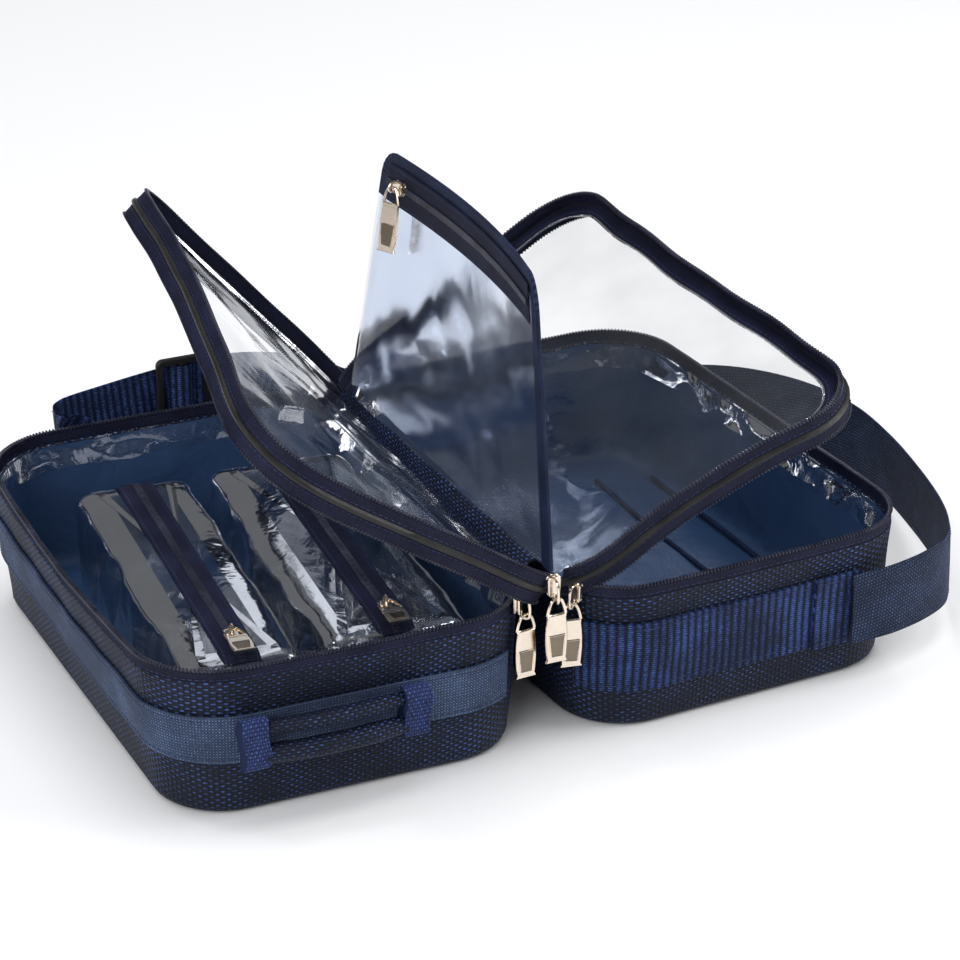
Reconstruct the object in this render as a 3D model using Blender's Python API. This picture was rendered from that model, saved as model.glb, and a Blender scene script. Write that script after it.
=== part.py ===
"""Travel jewellery case: two soft trays joined at a fabric spine, with three leaves between them.

The left tray lies at the origin with its opening up. X runs across the spine, Y along it and Z up.
Each tray has a frame of its own: x outward from the spine edge of its rim, y along that edge, z up.
"""
import math

import bmesh
import bpy
from mathutils import Matrix, Vector

MM = 0.001
GAP = 0.35 * MM                     # clearance between touching pieces

# trays
TRAY_WIDTH = 191 * MM               # across the spine, at the rim
TRAY_LENGTH = 288 * MM              # along the spine, at the rim
WALL_HEIGHT = 72 * MM               # fabric wall, below the zip tape
RIM_HEIGHT = 80 * MM                # top of the zip teeth
CORNER_RADIUS = 40 * MM             # vertical corners
DRAFT = 4.5 * MM                    # the base is this much smaller on each side
WALL = 2.6 * MM
LINING = 0.8 * MM
CORNER_STEPS = 6

# place of the right tray: the middle of its spine edge, and its turn on the table
RIGHT_EDGE = Vector((108.0, -4.9, 0)) * MM
RIGHT_YAW = math.radians(3.7)

# zips
TAPE = 0.9 * MM                     # thickness of zip tape
COIL_RADIUS = 1.15 * MM
ZIP_START = 6 * MM                  # how far from the spine edge the rim zips begin

# leaves; every height and reach is stated as the leaf lies when the case is shut
BAND = 20 * MM                      # height that each page takes up in the shut case
PAGE_START = 27 * MM                # the zip band begins this far from the spine edge
LEFT_PAGE_PIVOT = (15.6 * MM, 60.5 * MM)
LEFT_PAGE_ANGLE = math.radians(49.3)
RIGHT_PAGE_PIVOT = (22.3 * MM, 62.7 * MM)
RIGHT_PAGE_ANGLE = math.radians(31.1)
PAGE_HEIGHT = RIM_HEIGHT + BAND / 2
POCKET_FRONT = (156 * MM, 139 * MM)  # outer front corner: reach from the spine, place along it
POCKET_BACK = (131 * MM, -109 * MM)  # outer back corner
POCKET_START = 4 * MM
POCKET_PIVOT = (2.1 * MM, 91.3 * MM)
POCKET_ANGLE = math.radians(99.3)
POCKET_HEIGHT = RIM_HEIGHT + BAND
FILM = 0.5 * MM                     # clear vinyl

# zip sliders and their pulls
SLIDER_LENGTH = 11 * MM
SLIDER_WIDTH = 7.5 * MM
SLIDER_HEIGHT = 3.2 * MM
PULL_LENGTH = 35 * MM
POUCH_PULL_LENGTH = 24 * MM
PULL_WIDTH = 11.5 * MM
PULL_THICKNESS = 1.7 * MM
PULL_OFFSET = 2.1 * MM              # from a slider's top to the middle of its pull

# webbing and strap
NARROW_WEBBING = 25 * MM
WIDE_WEBBING = 38 * MM
WEBBING = 1.5 * MM
WEBBING_MIDDLE = 42 * MM            # height of both webbings' middle line

# clear pouches in the left tray: middle, half width, half length
POUCHES = {
    "pouch_1": (Vector((-40, -17, 0)) * MM, 33 * MM, 108 * MM),
    "pouch_2": (Vector((38, -20, 0)) * MM, 40 * MM, 108 * MM),
}
POUCH_YAW = math.radians(-5)
POUCH_FLOOR = 5 * MM
POUCH_TOP = 70 * MM

NAVY = (0.012, 0.018, 0.045)
BLUE = (0.035, 0.07, 0.16)
DENIM = (0.055, 0.095, 0.19)
CHARCOAL = (0.02, 0.022, 0.035)
VIOLET = (0.06, 0.09, 0.3)
GOLD = (0.83, 0.72, 0.56)
CLEAR = (0.8, 0.82, 0.86)
BLACK = (0.01, 0.01, 0.01)


def clear_scene():
    for old in list(bpy.data.objects):
        bpy.data.objects.remove(old, do_unlink=True)


def material(name, colour, roughness=0.8, metallic=0.0, alpha=1.0):
    made = bpy.data.materials.get(name)
    if made is None:
        made = bpy.data.materials.new(name)
        made.use_nodes = True
        shader = made.node_tree.nodes["Principled BSDF"]
        shader.inputs["Base Color"].default_value = (*colour, 1)
        shader.inputs["Roughness"].default_value = roughness
        shader.inputs["Metallic"].default_value = metallic
        shader.inputs["Alpha"].default_value = alpha
    return made


def empty(name, location, rotation=(0, 0, 0), parent=None):
    made = bpy.data.objects.new(name, None)
    bpy.context.scene.collection.objects.link(made)
    made.location = location
    made.rotation_euler = rotation
    made.parent = parent
    return made


def finish(name, bm, surface, parent=None, location=(0, 0, 0), rotation=(0, 0, 0), smooth=True):
    """Turns a bmesh into a named object under its parent."""
    bmesh.ops.recalc_face_normals(bm, faces=bm.faces)
    mesh = bpy.data.meshes.new(name)
    bm.to_mesh(mesh)
    bm.free()
    if smooth:
        mesh.shade_smooth()
        mesh.set_sharp_from_angle(angle=math.radians(35))
    mesh.materials.append(surface)
    made = bpy.data.objects.new(name, mesh)
    bpy.context.scene.collection.objects.link(made)
    made.parent = parent
    made.location = location
    made.rotation_euler = rotation
    return made


# ---------------------------------------------------------------- outlines

def arc(centre, radius, start, end, steps):
    """Points and outward normals along an arc, angles in degrees."""
    found = []
    for i in range(steps + 1):
        angle = math.radians(start + (end - start) * i / steps)
        normal = Vector((math.cos(angle), math.sin(angle), 0))
        found.append((Vector((*centre, 0)) + normal * radius, normal))
    return found


def ring(width, length, radius, steps=CORNER_STEPS):
    """Closed rounded rectangle from x = 0 to width, y within half the length."""
    half = length / 2 - radius
    found = []
    for centre, start in (((radius, -half), 180), ((width - radius, -half), 270),
                          ((width - radius, half), 0), ((radius, half), 90)):
        found += arc(centre, radius, start, start + 90, steps)
    return found


def three_sides(width, length, radius, start, steps=CORNER_STEPS):
    """The rounded rectangle without its spine side: it begins and ends at x = start."""
    half = length / 2 - radius
    cut = math.degrees(math.acos((radius - start) / radius)) if start < radius else 90
    found = []
    if start < radius:
        found += arc((radius, -half), radius, 180 + cut, 270, max(2, steps // 2))
    else:
        found.append((Vector((start, -length / 2, 0)), Vector((0, -1, 0))))
    found += arc((width - radius, -half), radius, 270, 360, steps)
    found += arc((width - radius, half), radius, 0, 90, steps)
    if start < radius:
        found += arc((radius, half), radius, 90, 180 - cut, max(2, steps // 2))
    else:
        found.append((Vector((start, length / 2, 0)), Vector((0, 1, 0))))
    return found


# ---------------------------------------------------------------- solids

def sweep(points, sections, closed=False):
    """Skins one section after another; each point is (place, outward, up), a section lists (out, up)."""
    bm = bmesh.new()
    loops = []
    for index, (place, outward, up) in enumerate(points):
        section = sections(index) if callable(sections) else sections
        loops.append([bm.verts.new(place + outward * a + up * b) for a, b in section])
    count = len(loops)
    for i in range(count if closed else count - 1):
        here, there = loops[i], loops[(i + 1) % count]
        for j in range(len(here)):
            k = (j + 1) % len(here)
            bm.faces.new((here[j], here[k], there[k], there[j]))
    if not closed:
        bm.faces.new(loops[0])
        bm.faces.new(loops[-1])
    return bm


def flat(path):
    """Adds the up direction to an outline's points."""
    return [(place, normal, Vector((0, 0, 1))) for place, normal in path]


def box_section(out_low, out_high, up_low, up_high):
    return [(out_low, up_low), (out_high, up_low), (out_high, up_high), (out_low, up_high)]


def round_section(out, up, radius, sides=6):
    turn = 2 * math.pi / sides
    return [(out + radius * math.cos(turn * i), up + radius * math.sin(turn * i)) for i in range(sides)]


def bowl(profile, width=TRAY_WIDTH, length=TRAY_LENGTH, radius=CORNER_RADIUS):
    """Open tray from rings at (inset, height), outer bottom to rim to inner bottom."""
    bm = bmesh.new()
    loops = []
    for inset, height in profile:
        outline = ring(width - 2 * inset, length - 2 * inset, radius - inset)
        loops.append([bm.verts.new(place + Vector((inset, 0, height))) for place, _ in outline])
    for here, there in zip(loops, loops[1:]):
        for j in range(len(here)):
            k = (j + 1) % len(here)
            bm.faces.new((here[j], here[k], there[k], there[j]))
    bm.faces.new(loops[0])
    bm.faces.new(loops[-1])
    return bm


def plate(outline, low, high):
    """Straight extrusion of a closed outline between two heights."""
    bm = bmesh.new()
    bottom = [bm.verts.new((p.x, p.y, low)) for p in outline]
    top = [bm.verts.new((p.x, p.y, high)) for p in outline]
    bm.faces.new(bottom)
    bm.faces.new(top)
    for j in range(len(outline)):
        k = (j + 1) % len(outline)
        bm.faces.new((bottom[j], bottom[k], top[k], top[j]))
    return bm


def block(size, bevel=0.0):
    bm = bmesh.new()
    bmesh.ops.create_cube(bm, size=1, matrix=Matrix.Diagonal((*size, 1)))
    if bevel:
        bmesh.ops.bevel(bm, geom=bm.edges[:], offset=bevel, segments=2, affect="EDGES", profile=0.5)
    return bm


# ---------------------------------------------------------------- trays

def tray(side, frame):
    shell = bowl([(10 * MM, 0), (6.2 * MM, 1.2 * MM), (DRAFT, 5 * MM), (0, WALL_HEIGHT),
                  (WALL, WALL_HEIGHT), (WALL + 4.2 * MM, 8 * MM), (WALL + 7 * MM, 3.2 * MM)])
    finish(f"{side}_tray_shell", shell, material("ballistic_nylon", NAVY, 0.75), frame)

    outer = WALL + GAP
    lining = bowl([(outer + 7 * MM, 3.6 * MM), (outer + 4.2 * MM, 8.2 * MM), (outer, WALL_HEIGHT - 1 * MM),
                   (outer + LINING, WALL_HEIGHT - 1 * MM), (outer + LINING + 4.2 * MM, 8.8 * MM),
                   (outer + LINING + 7 * MM, 4.4 * MM)])
    finish(f"{side}_tray_lining", lining, material("lining", BLUE, 0.35), frame)

    path = flat(three_sides(TRAY_WIDTH, TRAY_LENGTH, CORNER_RADIUS, ZIP_START))
    tape = sweep(path, box_section(-TAPE - 0.4 * MM, -0.4 * MM, WALL_HEIGHT + GAP, RIM_HEIGHT - 2.75 * MM))
    finish(f"{side}_rim_zip_tape", tape, material("zip_tape", CHARCOAL, 0.85), frame)
    coil = sweep(path, round_section(-0.85 * MM, RIM_HEIGHT - COIL_RADIUS - 0.1 * MM, COIL_RADIUS))
    finish(f"{side}_rim_zip_teeth", coil, material("zip_teeth", BLACK, 0.4), frame)

    edge_length = TRAY_LENGTH - 2 * CORNER_RADIUS - 8 * MM
    edge = block((2.2 * MM, edge_length, 4 * MM), 0.6 * MM)
    finish(f"{side}_spine_edge_binding", edge, material("binding", BLUE, 0.8), frame,
           (1.3 * MM, 0, WALL_HEIGHT + GAP + 2 * MM))
    gusset = block((0.9 * MM, edge_length, 24 * MM))
    tilt = math.atan(DRAFT / WALL_HEIGHT)
    finish(f"{side}_spine_gusset", gusset, material("ballistic_nylon", NAVY, 0.75), frame,
           (-0.1 * MM, 0, 58 * MM), (0, -tilt, 0), smooth=False)


def webbing_on_wall(name, frame, path, width, middle, lift=0.0, colour=DENIM):
    """A flat band that follows the sloping wall at a constant height."""
    slope = DRAFT / WALL_HEIGHT
    low, high = middle - width / 2, middle + width / 2

    def place(height):
        return -(WALL_HEIGHT - height) * slope + GAP + lift

    section = [(place(low), low), (place(low) + WEBBING, low), (place(high) + WEBBING, high), (place(high), high)]
    finish(name, sweep(flat(path), section), material(f"{name}_weave", colour, 0.8), frame)


def left_webbing(frame):
    """From the front face round the front outer corner and back along the outer side."""
    half = TRAY_LENGTH / 2 - CORNER_RADIUS
    path = [(Vector((12 * MM + CORNER_RADIUS / 2, TRAY_LENGTH / 2, 0)), Vector((0, 1, 0)))]
    path += list(reversed(arc((TRAY_WIDTH - CORNER_RADIUS, half), CORNER_RADIUS, 0, 90, CORNER_STEPS)))
    path += list(reversed(arc((TRAY_WIDTH - CORNER_RADIUS, -half), CORNER_RADIUS, -90, 0, CORNER_STEPS)))
    path.append((Vector((60 * MM, -TRAY_LENGTH / 2, 0)), Vector((0, -1, 0))))
    webbing_on_wall("left_perimeter_webbing", frame, path, NARROW_WEBBING, WEBBING_MIDDLE)


def right_webbing(frame):
    """Across the front face only, with the shoulder strap's sewn patch at its outer end."""
    front = -TRAY_LENGTH / 2
    radius = CORNER_RADIUS
    path = arc((radius, front + radius), radius, 215, 270, 4)
    path.append((Vector((154 * MM, front, 0)), Vector((0, -1, 0))))
    webbing_on_wall("right_front_webbing", frame, path, WIDE_WEBBING, WEBBING_MIDDLE - 2 * MM, colour=BLUE)
    patch = [(Vector((x * MM, front, 0)), Vector((0, -1, 0))) for x in (129, 153)]
    webbing_on_wall("strap_anchor_patch", frame, patch, WIDE_WEBBING + 2 * MM, WEBBING_MIDDLE - 2 * MM,
                    lift=WEBBING + GAP, colour=BLUE)


def lining_piping(frame):
    """Cord sewn into the seam between the lining's outer wall and its floor."""
    start, end = -80 * MM, 80 * MM
    x = TRAY_WIDTH - WALL - LINING - 12 * MM
    points = [(Vector((x, y, 6.5 * MM)), Vector((1, 0, 0)), Vector((0, 0, 1))) for y in (start, end)]
    finish("right_lining_piping", sweep(points, round_section(0, 0, 1.3 * MM)),
           material("binding", BLUE, 0.8), frame)


# ---------------------------------------------------------------- leaves

def leaf_axis(name, frame, pivot, angle):
    """Empty on a leaf's turning axis, raised from the shut pose by its angle."""
    return empty(name, (pivot[0], 0, pivot[1]), (0, -angle, 0), frame)


def page(side, frame, pivot, angle):
    """A clear page inside a band of piping and two zip tapes."""
    axis = leaf_axis(f"{side}_page_axis", frame, pivot, angle)
    offset = (-pivot[0], 0, PAGE_HEIGHT - pivot[1])
    path = flat(three_sides(TRAY_WIDTH, TRAY_LENGTH, CORNER_RADIUS, PAGE_START))
    piping = sweep(path, round_section(-0.9 * MM, 0, 1.5 * MM))
    finish(f"{side}_page_piping", piping, material("piping", BLACK, 0.5), axis, offset)
    for name, sign in (("upper", 1), ("lower", -1)):
        near, far = sign * (1.5 * MM + GAP), sign * 6.9 * MM
        tape = sweep(path, box_section(-TAPE - 0.4 * MM, -0.4 * MM, min(near, far), max(near, far)))
        finish(f"{side}_page_{name}_tape", tape, material("zip_tape", CHARCOAL, 0.85), axis, offset)
        coil = sweep(path, round_section(-0.85 * MM, sign * (far * sign + GAP + COIL_RADIUS), COIL_RADIUS))
        finish(f"{side}_page_{name}_teeth", coil, material("zip_teeth", BLACK, 0.4), axis, offset)
    frame_in, frame_width = 2.8 * MM, 5 * MM
    edge = sweep(path, box_section(-frame_in - frame_width, -frame_in, -0.6 * MM, 0.6 * MM))
    finish(f"{side}_page_edge_binding", edge, material("binding", BLUE, 0.8), axis, offset)

    clear = frame_in + frame_width + GAP
    outline = [place - normal * clear
               for place, normal in three_sides(TRAY_WIDTH, TRAY_LENGTH, CORNER_RADIUS, PAGE_START)]
    inner = CORNER_RADIUS + 8 * MM
    outline = [Vector((21 * MM, -(TRAY_LENGTH / 2 - inner), 0))] + outline
    outline.append(Vector((21 * MM, TRAY_LENGTH / 2 - inner, 0)))
    finish(f"{side}_page_window", plate(outline, -FILM / 2, FILM / 2),
           material("clear_vinyl", CLEAR, 0.05, alpha=0.2), axis, offset, smooth=False)
    return axis


def pocket(frame):
    """The middle leaf: a flat pocket of two clear sheets with a zip along its outer edge."""
    axis = leaf_axis("pocket_page_axis", frame, POCKET_PIVOT, POCKET_ANGLE)
    offset = Vector((-POCKET_PIVOT[0], 0, POCKET_HEIGHT - POCKET_PIVOT[1]))
    slant = math.atan2(POCKET_FRONT[0] - POCKET_BACK[0], POCKET_FRONT[1] - POCKET_BACK[1])
    degrees, radius = math.degrees(slant), 14 * MM

    # the outer edge leans by the slant, so the rounded corners turn through 90 less or plus it
    back = Vector((POCKET_BACK[0] - radius / math.cos(slant) + radius * math.tan(slant),
                   POCKET_BACK[1] + radius, 0))
    front = Vector((POCKET_FRONT[0] - radius / math.cos(slant) - radius * math.tan(slant),
                    POCKET_FRONT[1] - radius, 0))
    path = [(Vector((POCKET_START, POCKET_BACK[1], 0)), Vector((0, -1, 0)))]
    path += arc(back[:2], radius, 270, 360 - degrees, 4)
    path += arc(front[:2], radius, -degrees, 90, 4)
    path.append((Vector((POCKET_START, POCKET_FRONT[1], 0)), Vector((0, 1, 0))))
    edge = sweep(flat(path), box_section(-3.2 * MM, 0, -1.9 * MM, 1.9 * MM))
    finish("pocket_edge_binding", edge, material("binding", BLUE, 0.8), axis, offset)

    outline = [place - normal * (3.2 * MM + GAP) for place, normal in path]
    for name, low in (("pocket_near_sheet", -1.2 * MM), ("pocket_far_sheet", 0.7 * MM)):
        finish(name, plate(outline, low, low + FILM), material("clear_vinyl", CLEAR, 0.05, alpha=0.2),
               axis, offset, smooth=False)

    # the zip lies under the near sheet, parallel to the outer edge
    middle = Vector(((POCKET_FRONT[0] + POCKET_BACK[0]) / 2, (POCKET_FRONT[1] + POCKET_BACK[1]) / 2, 0))
    turn = Matrix.Rotation(-slant, 4, "Z")
    middle = middle - turn @ Vector((14 * MM, 0, 0)) + offset
    length = POCKET_FRONT[1] - POCKET_BACK[1] - 42 * MM
    tape_z = -1.2 * MM - GAP - TAPE / 2
    finish("pocket_zip_tape", block((19 * MM, length, TAPE)), material("zip_tape", CHARCOAL, 0.85), axis,
           middle + Vector((0, 0, tape_z)), (0, 0, -slant), smooth=False)
    base_z = tape_z - TAPE / 2 - GAP
    ends = [(Vector((0, y, 0)), Vector((1, 0, 0)), Vector((0, 0, 1))) for y in (-length / 2, length / 2)]
    finish("pocket_zip_teeth", sweep(ends, round_section(0, 0, 0.7 * MM)), material("zip_teeth", BLACK, 0.4),
           axis, middle + Vector((0, 0, base_z - 0.7 * MM)), (0, 0, -slant))
    # the left tray's y runs to the front, so the back end has negative y
    spot = middle + turn @ Vector((0, -length / 2 + 8 * MM, 0))
    slider("pocket_slider", axis, spot + Vector((0, 0, base_z)), (math.pi, 0, -slant), (1.7 * MM, 1.8 * MM))
    pin_z = base_z - SLIDER_HEIGHT - PULL_OFFSET
    pull_tab("pocket_pull", axis, spot + Vector((0, 0, pin_z)), (math.pi / 2, 0, math.pi / 2 - slant))


# ---------------------------------------------------------------- zip sliders and pulls

def slider(name, parent, location, rotation, groove=None):
    """Body of a zip slider, its base at z = 0; a groove (half width, depth) straddles the teeth."""
    bm = bmesh.new()
    half, high = SLIDER_WIDTH / 2, SLIDER_HEIGHT
    profile = [(half, 0), (half, high * 0.7), (half * 0.6, high), (-half * 0.6, high), (-half, high * 0.7),
               (-half, 0)]
    if groove:
        side, deep = groove
        profile += [(-side, 0), (-side, deep), (side, deep), (side, 0)]
    loops = []
    for step in range(5):
        y = SLIDER_LENGTH * (step / 4 - 0.5)
        pinch = 1 - 0.22 * abs(step / 4 - 0.35)
        loops.append([bm.verts.new((x * pinch if abs(x) > half / 2 else x, y, z)) for x, z in profile])
    for here, there in zip(loops, loops[1:]):
        for j in range(len(profile)):
            k = (j + 1) % len(profile)
            bm.faces.new((here[j], here[k], there[k], there[j]))
    bm.faces.new(loops[0])
    bm.faces.new(loops[-1])
    return finish(name, bm, material("gold_metal", GOLD, 0.2, 1.0), parent, location, rotation)


def pull_tab(name, parent, location, rotation, length=PULL_LENGTH):
    """Long plate with an eye; its origin is on the pin that it swings on, and it hangs along -z."""
    half, thick = PULL_WIDTH / 2, PULL_THICKNESS
    eye_radius, hole_radius, chamfer = 4.2 * MM, 2.2 * MM, 2 * MM
    eye = (0, 1.3 * MM - eye_radius)
    low, shoulder = 1.3 * MM - length, eye[1] - 5.5 * MM
    outline = [(place.x, place.y) for place, _ in arc(eye, eye_radius, -35, 215, 6)]
    outline += [(-half, shoulder), (-half, low + chamfer), (-half + chamfer, low),
                (half - chamfer, low), (half, low + chamfer), (half, shoulder)]
    hole = [(place.x, place.y) for place, _ in arc(eye, hole_radius, 0, 315, 7)]
    bm = bmesh.new()
    sides = {}
    for level in (-thick / 2, thick / 2):
        outer = [bm.verts.new((x, level, y)) for x, y in outline]
        inner = [bm.verts.new((x, level, y)) for x, y in hole]
        edges = [bm.edges.new((loop[j], loop[(j + 1) % len(loop)]))
                 for loop in (outer, inner) for j in range(len(loop))]
        bmesh.ops.triangle_fill(bm, use_beauty=True, use_dissolve=False, edges=edges, normal=(0, 1, 0))
        sides[level] = (outer, inner)
    for which in (0, 1):
        low, high = sides[-thick / 2][which], sides[thick / 2][which]
        for j in range(len(low)):
            k = (j + 1) % len(low)
            bm.faces.new((low[j], low[k], high[k], high[j]))
    return finish(name, bm, material("gold_metal", GOLD, 0.2, 1.0), parent, location, rotation)


def hanging_pull(name, parent, foot, facing, pull_facing, height):
    """Upright slider at a foot point, facing outward by an angle in plan, with its pull hanging."""
    outward = Vector((math.cos(facing), math.sin(facing), 0))
    quarter = math.pi / 2
    slider(f"{name}_slider", parent, foot + Vector((0, 0, height)), (quarter, 0, facing + quarter))
    pin = foot + outward * (SLIDER_HEIGHT + PULL_OFFSET) + Vector((0, 0, height - 5.8 * MM))
    pull_tab(f"{name}_pull", parent, pin, (0, 0, pull_facing + quarter))


def front_pulls(left_frame, right_frame):
    """The three zips end at the front of the spine, each with its slider and pull."""
    corner = Vector((CORNER_RADIUS, TRAY_LENGTH / 2 - CORNER_RADIUS, 0))
    reach = CORNER_RADIUS + 1.2 * MM
    # the left tray's front corner has positive y in its own frame, the right tray's has negative y
    left = math.radians(138)
    foot = corner + Vector((math.cos(left), math.sin(left), 0)) * reach
    hanging_pull("left_rim", left_frame, foot, left, math.radians(95), 77 * MM)
    right = math.radians(210)
    foot = Vector((corner.x, -corner.y, 0)) + Vector((math.cos(right), math.sin(right), 0)) * reach
    hanging_pull("right_rim", right_frame, foot, right, math.radians(-104), 75.5 * MM)
    front = -math.pi / 2
    hanging_pull("middle", None, Vector((103, -137, 0)) * MM, front, front, 86 * MM)


# ---------------------------------------------------------------- handle

def handle():
    """Grip of two fabric rolls on the front face, held by an elastic wrap at each end."""
    front = -TRAY_LENGTH / 2 - WEBBING - 1.2 * MM
    low, high = -50 * MM, 18 * MM
    for name, radius, height in (("handle_upper_roll", 4.2 * MM, 50 * MM), ("handle_lower_roll", 5.2 * MM, 36.5 * MM)):
        points = []
        for i in range(7):
            share = i / 6
            bow = 3 * MM * math.sin(math.pi * share)
            points.append((Vector((low + (high - low) * share, front - radius - bow, height)),
                           Vector((0, 1, 0)), Vector((0, 0, 1))))
        finish(name, sweep(points, round_section(0, 0, radius, 10)), material("ballistic_nylon", NAVY, 0.75))
    for name, x in (("handle_left_wrap", low - GAP - 6.5 * MM), ("handle_right_wrap", high + GAP + 6.5 * MM)):
        finish(name, block((13 * MM, 9.5 * MM, 27 * MM), 2.5 * MM), material("elastic_knit", VIOLET, 0.9), None,
               (x, front - 4.9 * MM, 43 * MM))


# ---------------------------------------------------------------- pouches

def pouch(name, middle, half_width, half_length):
    """A zipped clear pouch: a soft box whose zip runs along the middle of its top."""
    frame = empty(f"{name}_frame", middle, (0, 0, POUCH_YAW))
    radius = 15 * MM
    bm = bmesh.new()
    loops = []
    rings = [(7 * MM, POUCH_FLOOR), (2 * MM, POUCH_FLOOR + 3 * MM), (0, POUCH_FLOOR + 14 * MM), (0, 52 * MM),
             (1.5 * MM, POUCH_TOP - 8 * MM), (5 * MM, POUCH_TOP - 2 * MM), (9 * MM, POUCH_TOP)]
    for inset, height in rings:
        width, length = 2 * (half_width - inset), 2 * (half_length - inset * 0.8)
        outline = ring(width, length, max(radius - inset * 0.6, 4 * MM), 3)
        loops.append([bm.verts.new(p + Vector((-width / 2, 0, height))) for p, _ in outline])
    for here, there in zip(loops, loops[1:]):
        for j in range(len(here)):
            k = (j + 1) % len(here)
            bm.faces.new((here[j], here[k], there[k], there[j]))
    bm.faces.new(loops[0])
    bm.faces.new(loops[-1])
    finish(f"{name}_body", bm, material("clear_vinyl", CLEAR, 0.05, alpha=0.2), frame)
    tape = block((18 * MM, 2 * half_length - 16 * MM, TAPE))
    tape_z = POUCH_TOP + GAP + TAPE / 2
    finish(f"{name}_zip_tape", tape, material("zip_tape", CHARCOAL, 0.85), frame, (0, 0, tape_z), smooth=False)
    spot = Vector((0, -half_length + 24 * MM, tape_z + TAPE / 2 + GAP))
    slider(f"{name}_slider", frame, spot, (0, 0, 0))
    pull_tab(f"{name}_pull", frame, spot + Vector((0, 0, SLIDER_HEIGHT + PULL_OFFSET)), (-math.pi / 2, 0, 0),
             POUCH_PULL_LENGTH)


# ---------------------------------------------------------------- shoulder strap

STRAP_LEFT = [(-8, 147.5, 40), (-22, 148.2, 49), (-36, 149.5, 59), (-45, 152, 66), (-48, 154.5, 68.5), (-45.5, 157.5, 70),
              (-38, 159.5, 71), (-20, 160.6, 73), (5, 161, 76), (30, 161, 78.3), (56, 162, 77.3), (82, 163, 71.5),
              (98.5, 163.8, 64.7)]
STRAP_RIGHT = [(101.5, 163.9, 63.1), (125, 165.5, 50.4), (160, 171, 34), (210, 175, 24), (265, 174, 21), (315, 166, 20.5),
               (352, 148, 20.5), (377, 116, 20.5), (388, 75, 21), (386, 30, 22), (376, -20, 25), (362, -66, 30),
               (347, -100, 35), (333, -121, 38), (312, -134, 39.5), (288, -141.2, 40), (266.5, -142.8, 40)]


def strap_ribbon(name, route, width):
    """Flat webbing standing on its edge along a route; it turns by its own direction in plan."""
    points = [Vector(p) * MM for p in route]
    smooth = []
    for i in range(len(points) - 1):
        before, here = points[max(i - 1, 0)], points[i]
        there, after = points[i + 1], points[min(i + 2, len(points) - 1)]
        for step in range(3):
            t = step / 3
            smooth.append(0.5 * (2 * here + (there - before) * t + (2 * before - 5 * here + 4 * there - after) * t ** 2
                                 + (3 * here - before - 3 * there + after) * t ** 3))
    smooth.append(points[-1])
    stations = []
    for i, place in enumerate(smooth):
        along = smooth[min(i + 1, len(smooth) - 1)] - smooth[max(i - 1, 0)]
        side = Vector((along.y, -along.x, 0)).normalized()
        up = along.cross(side).normalized()
        if up.z < 0:
            up = -up
        stations.append((place, side, up))
    section = box_section(-WEBBING / 2, WEBBING / 2, -width / 2, width / 2)
    finish(name, sweep(stations, section), material("strap_weave", DENIM, 0.8), smooth=False)


def triglide():
    """Plastic strap adjuster: a frame with two slots either side of its middle bar."""
    wide, tall, thick, bar = 31 * MM, 47 * MM, 3 * MM, 4 * MM
    bm = bmesh.new()
    xs = [-wide / 2, -wide / 2 + bar, -bar / 2, bar / 2, wide / 2 - bar, wide / 2]
    zs = [-tall / 2, -tall / 2 + bar, tall / 2 - bar, tall / 2]
    grid = {(i, j, k): bm.verts.new((xs[i], (-1, 1)[k] * thick / 2, zs[j]))
            for i in range(6) for j in range(4) for k in range(2)}
    solid = {(i, j) for i in range(5) for j in range(3)} - {(1, 1), (3, 1)}
    for i, j in solid:
        for k in (0, 1):
            bm.faces.new([grid[p, q, k] for p, q in ((i, j), (i + 1, j), (i + 1, j + 1), (i, j + 1))])
        for (di, dj), ends in (((-1, 0), ((i, j), (i, j + 1))), ((1, 0), ((i + 1, j), (i + 1, j + 1))),
                               ((0, -1), ((i, j), (i + 1, j))), ((0, 1), ((i, j + 1), (i + 1, j + 1)))):
            if (i + di, j + dj) not in solid:
                a, b = ends
                bm.faces.new((grid[a[0], a[1], 0], grid[b[0], b[1], 0], grid[b[0], b[1], 1], grid[a[0], a[1], 1]))
    finish("strap_triglide", bm, material("black_plastic", BLACK, 0.45), None,
           (25 * MM, 161 * MM - WEBBING / 2 - GAP - thick / 2 - 0.4 * MM, 78 * MM), smooth=False)


def build():
    clear_scene()
    left_frame = empty("left_tray_frame", (TRAY_WIDTH / 2, 0, 0), (0, 0, math.pi))
    right_frame = empty("right_tray_frame", RIGHT_EDGE, (0, 0, RIGHT_YAW))
    for side, frame in (("left", left_frame), ("right", right_frame)):
        tray(side, frame)
    left_webbing(left_frame)
    right_webbing(right_frame)
    lining_piping(right_frame)
    page("left", left_frame, LEFT_PAGE_PIVOT, LEFT_PAGE_ANGLE)
    page("right", right_frame, RIGHT_PAGE_PIVOT, RIGHT_PAGE_ANGLE)
    pocket(left_frame)
    front_pulls(left_frame, right_frame)
    handle()
    for name, (middle, half_width, half_length) in POUCHES.items():
        pouch(name, middle, half_width, half_length)
    strap_ribbon("shoulder_strap_left", STRAP_LEFT, WIDE_WEBBING)
    strap_ribbon("shoulder_strap_right", STRAP_RIGHT, WIDE_WEBBING)
    triglide()
    bpy.context.view_layer.update()


build()
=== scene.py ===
"""Looks of an open travel jewellery case: two soft trays, clear leaves, pouches and straps."""
import math

import bmesh
import bpy
import numpy as np
from mathutils import Matrix, Vector


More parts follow.
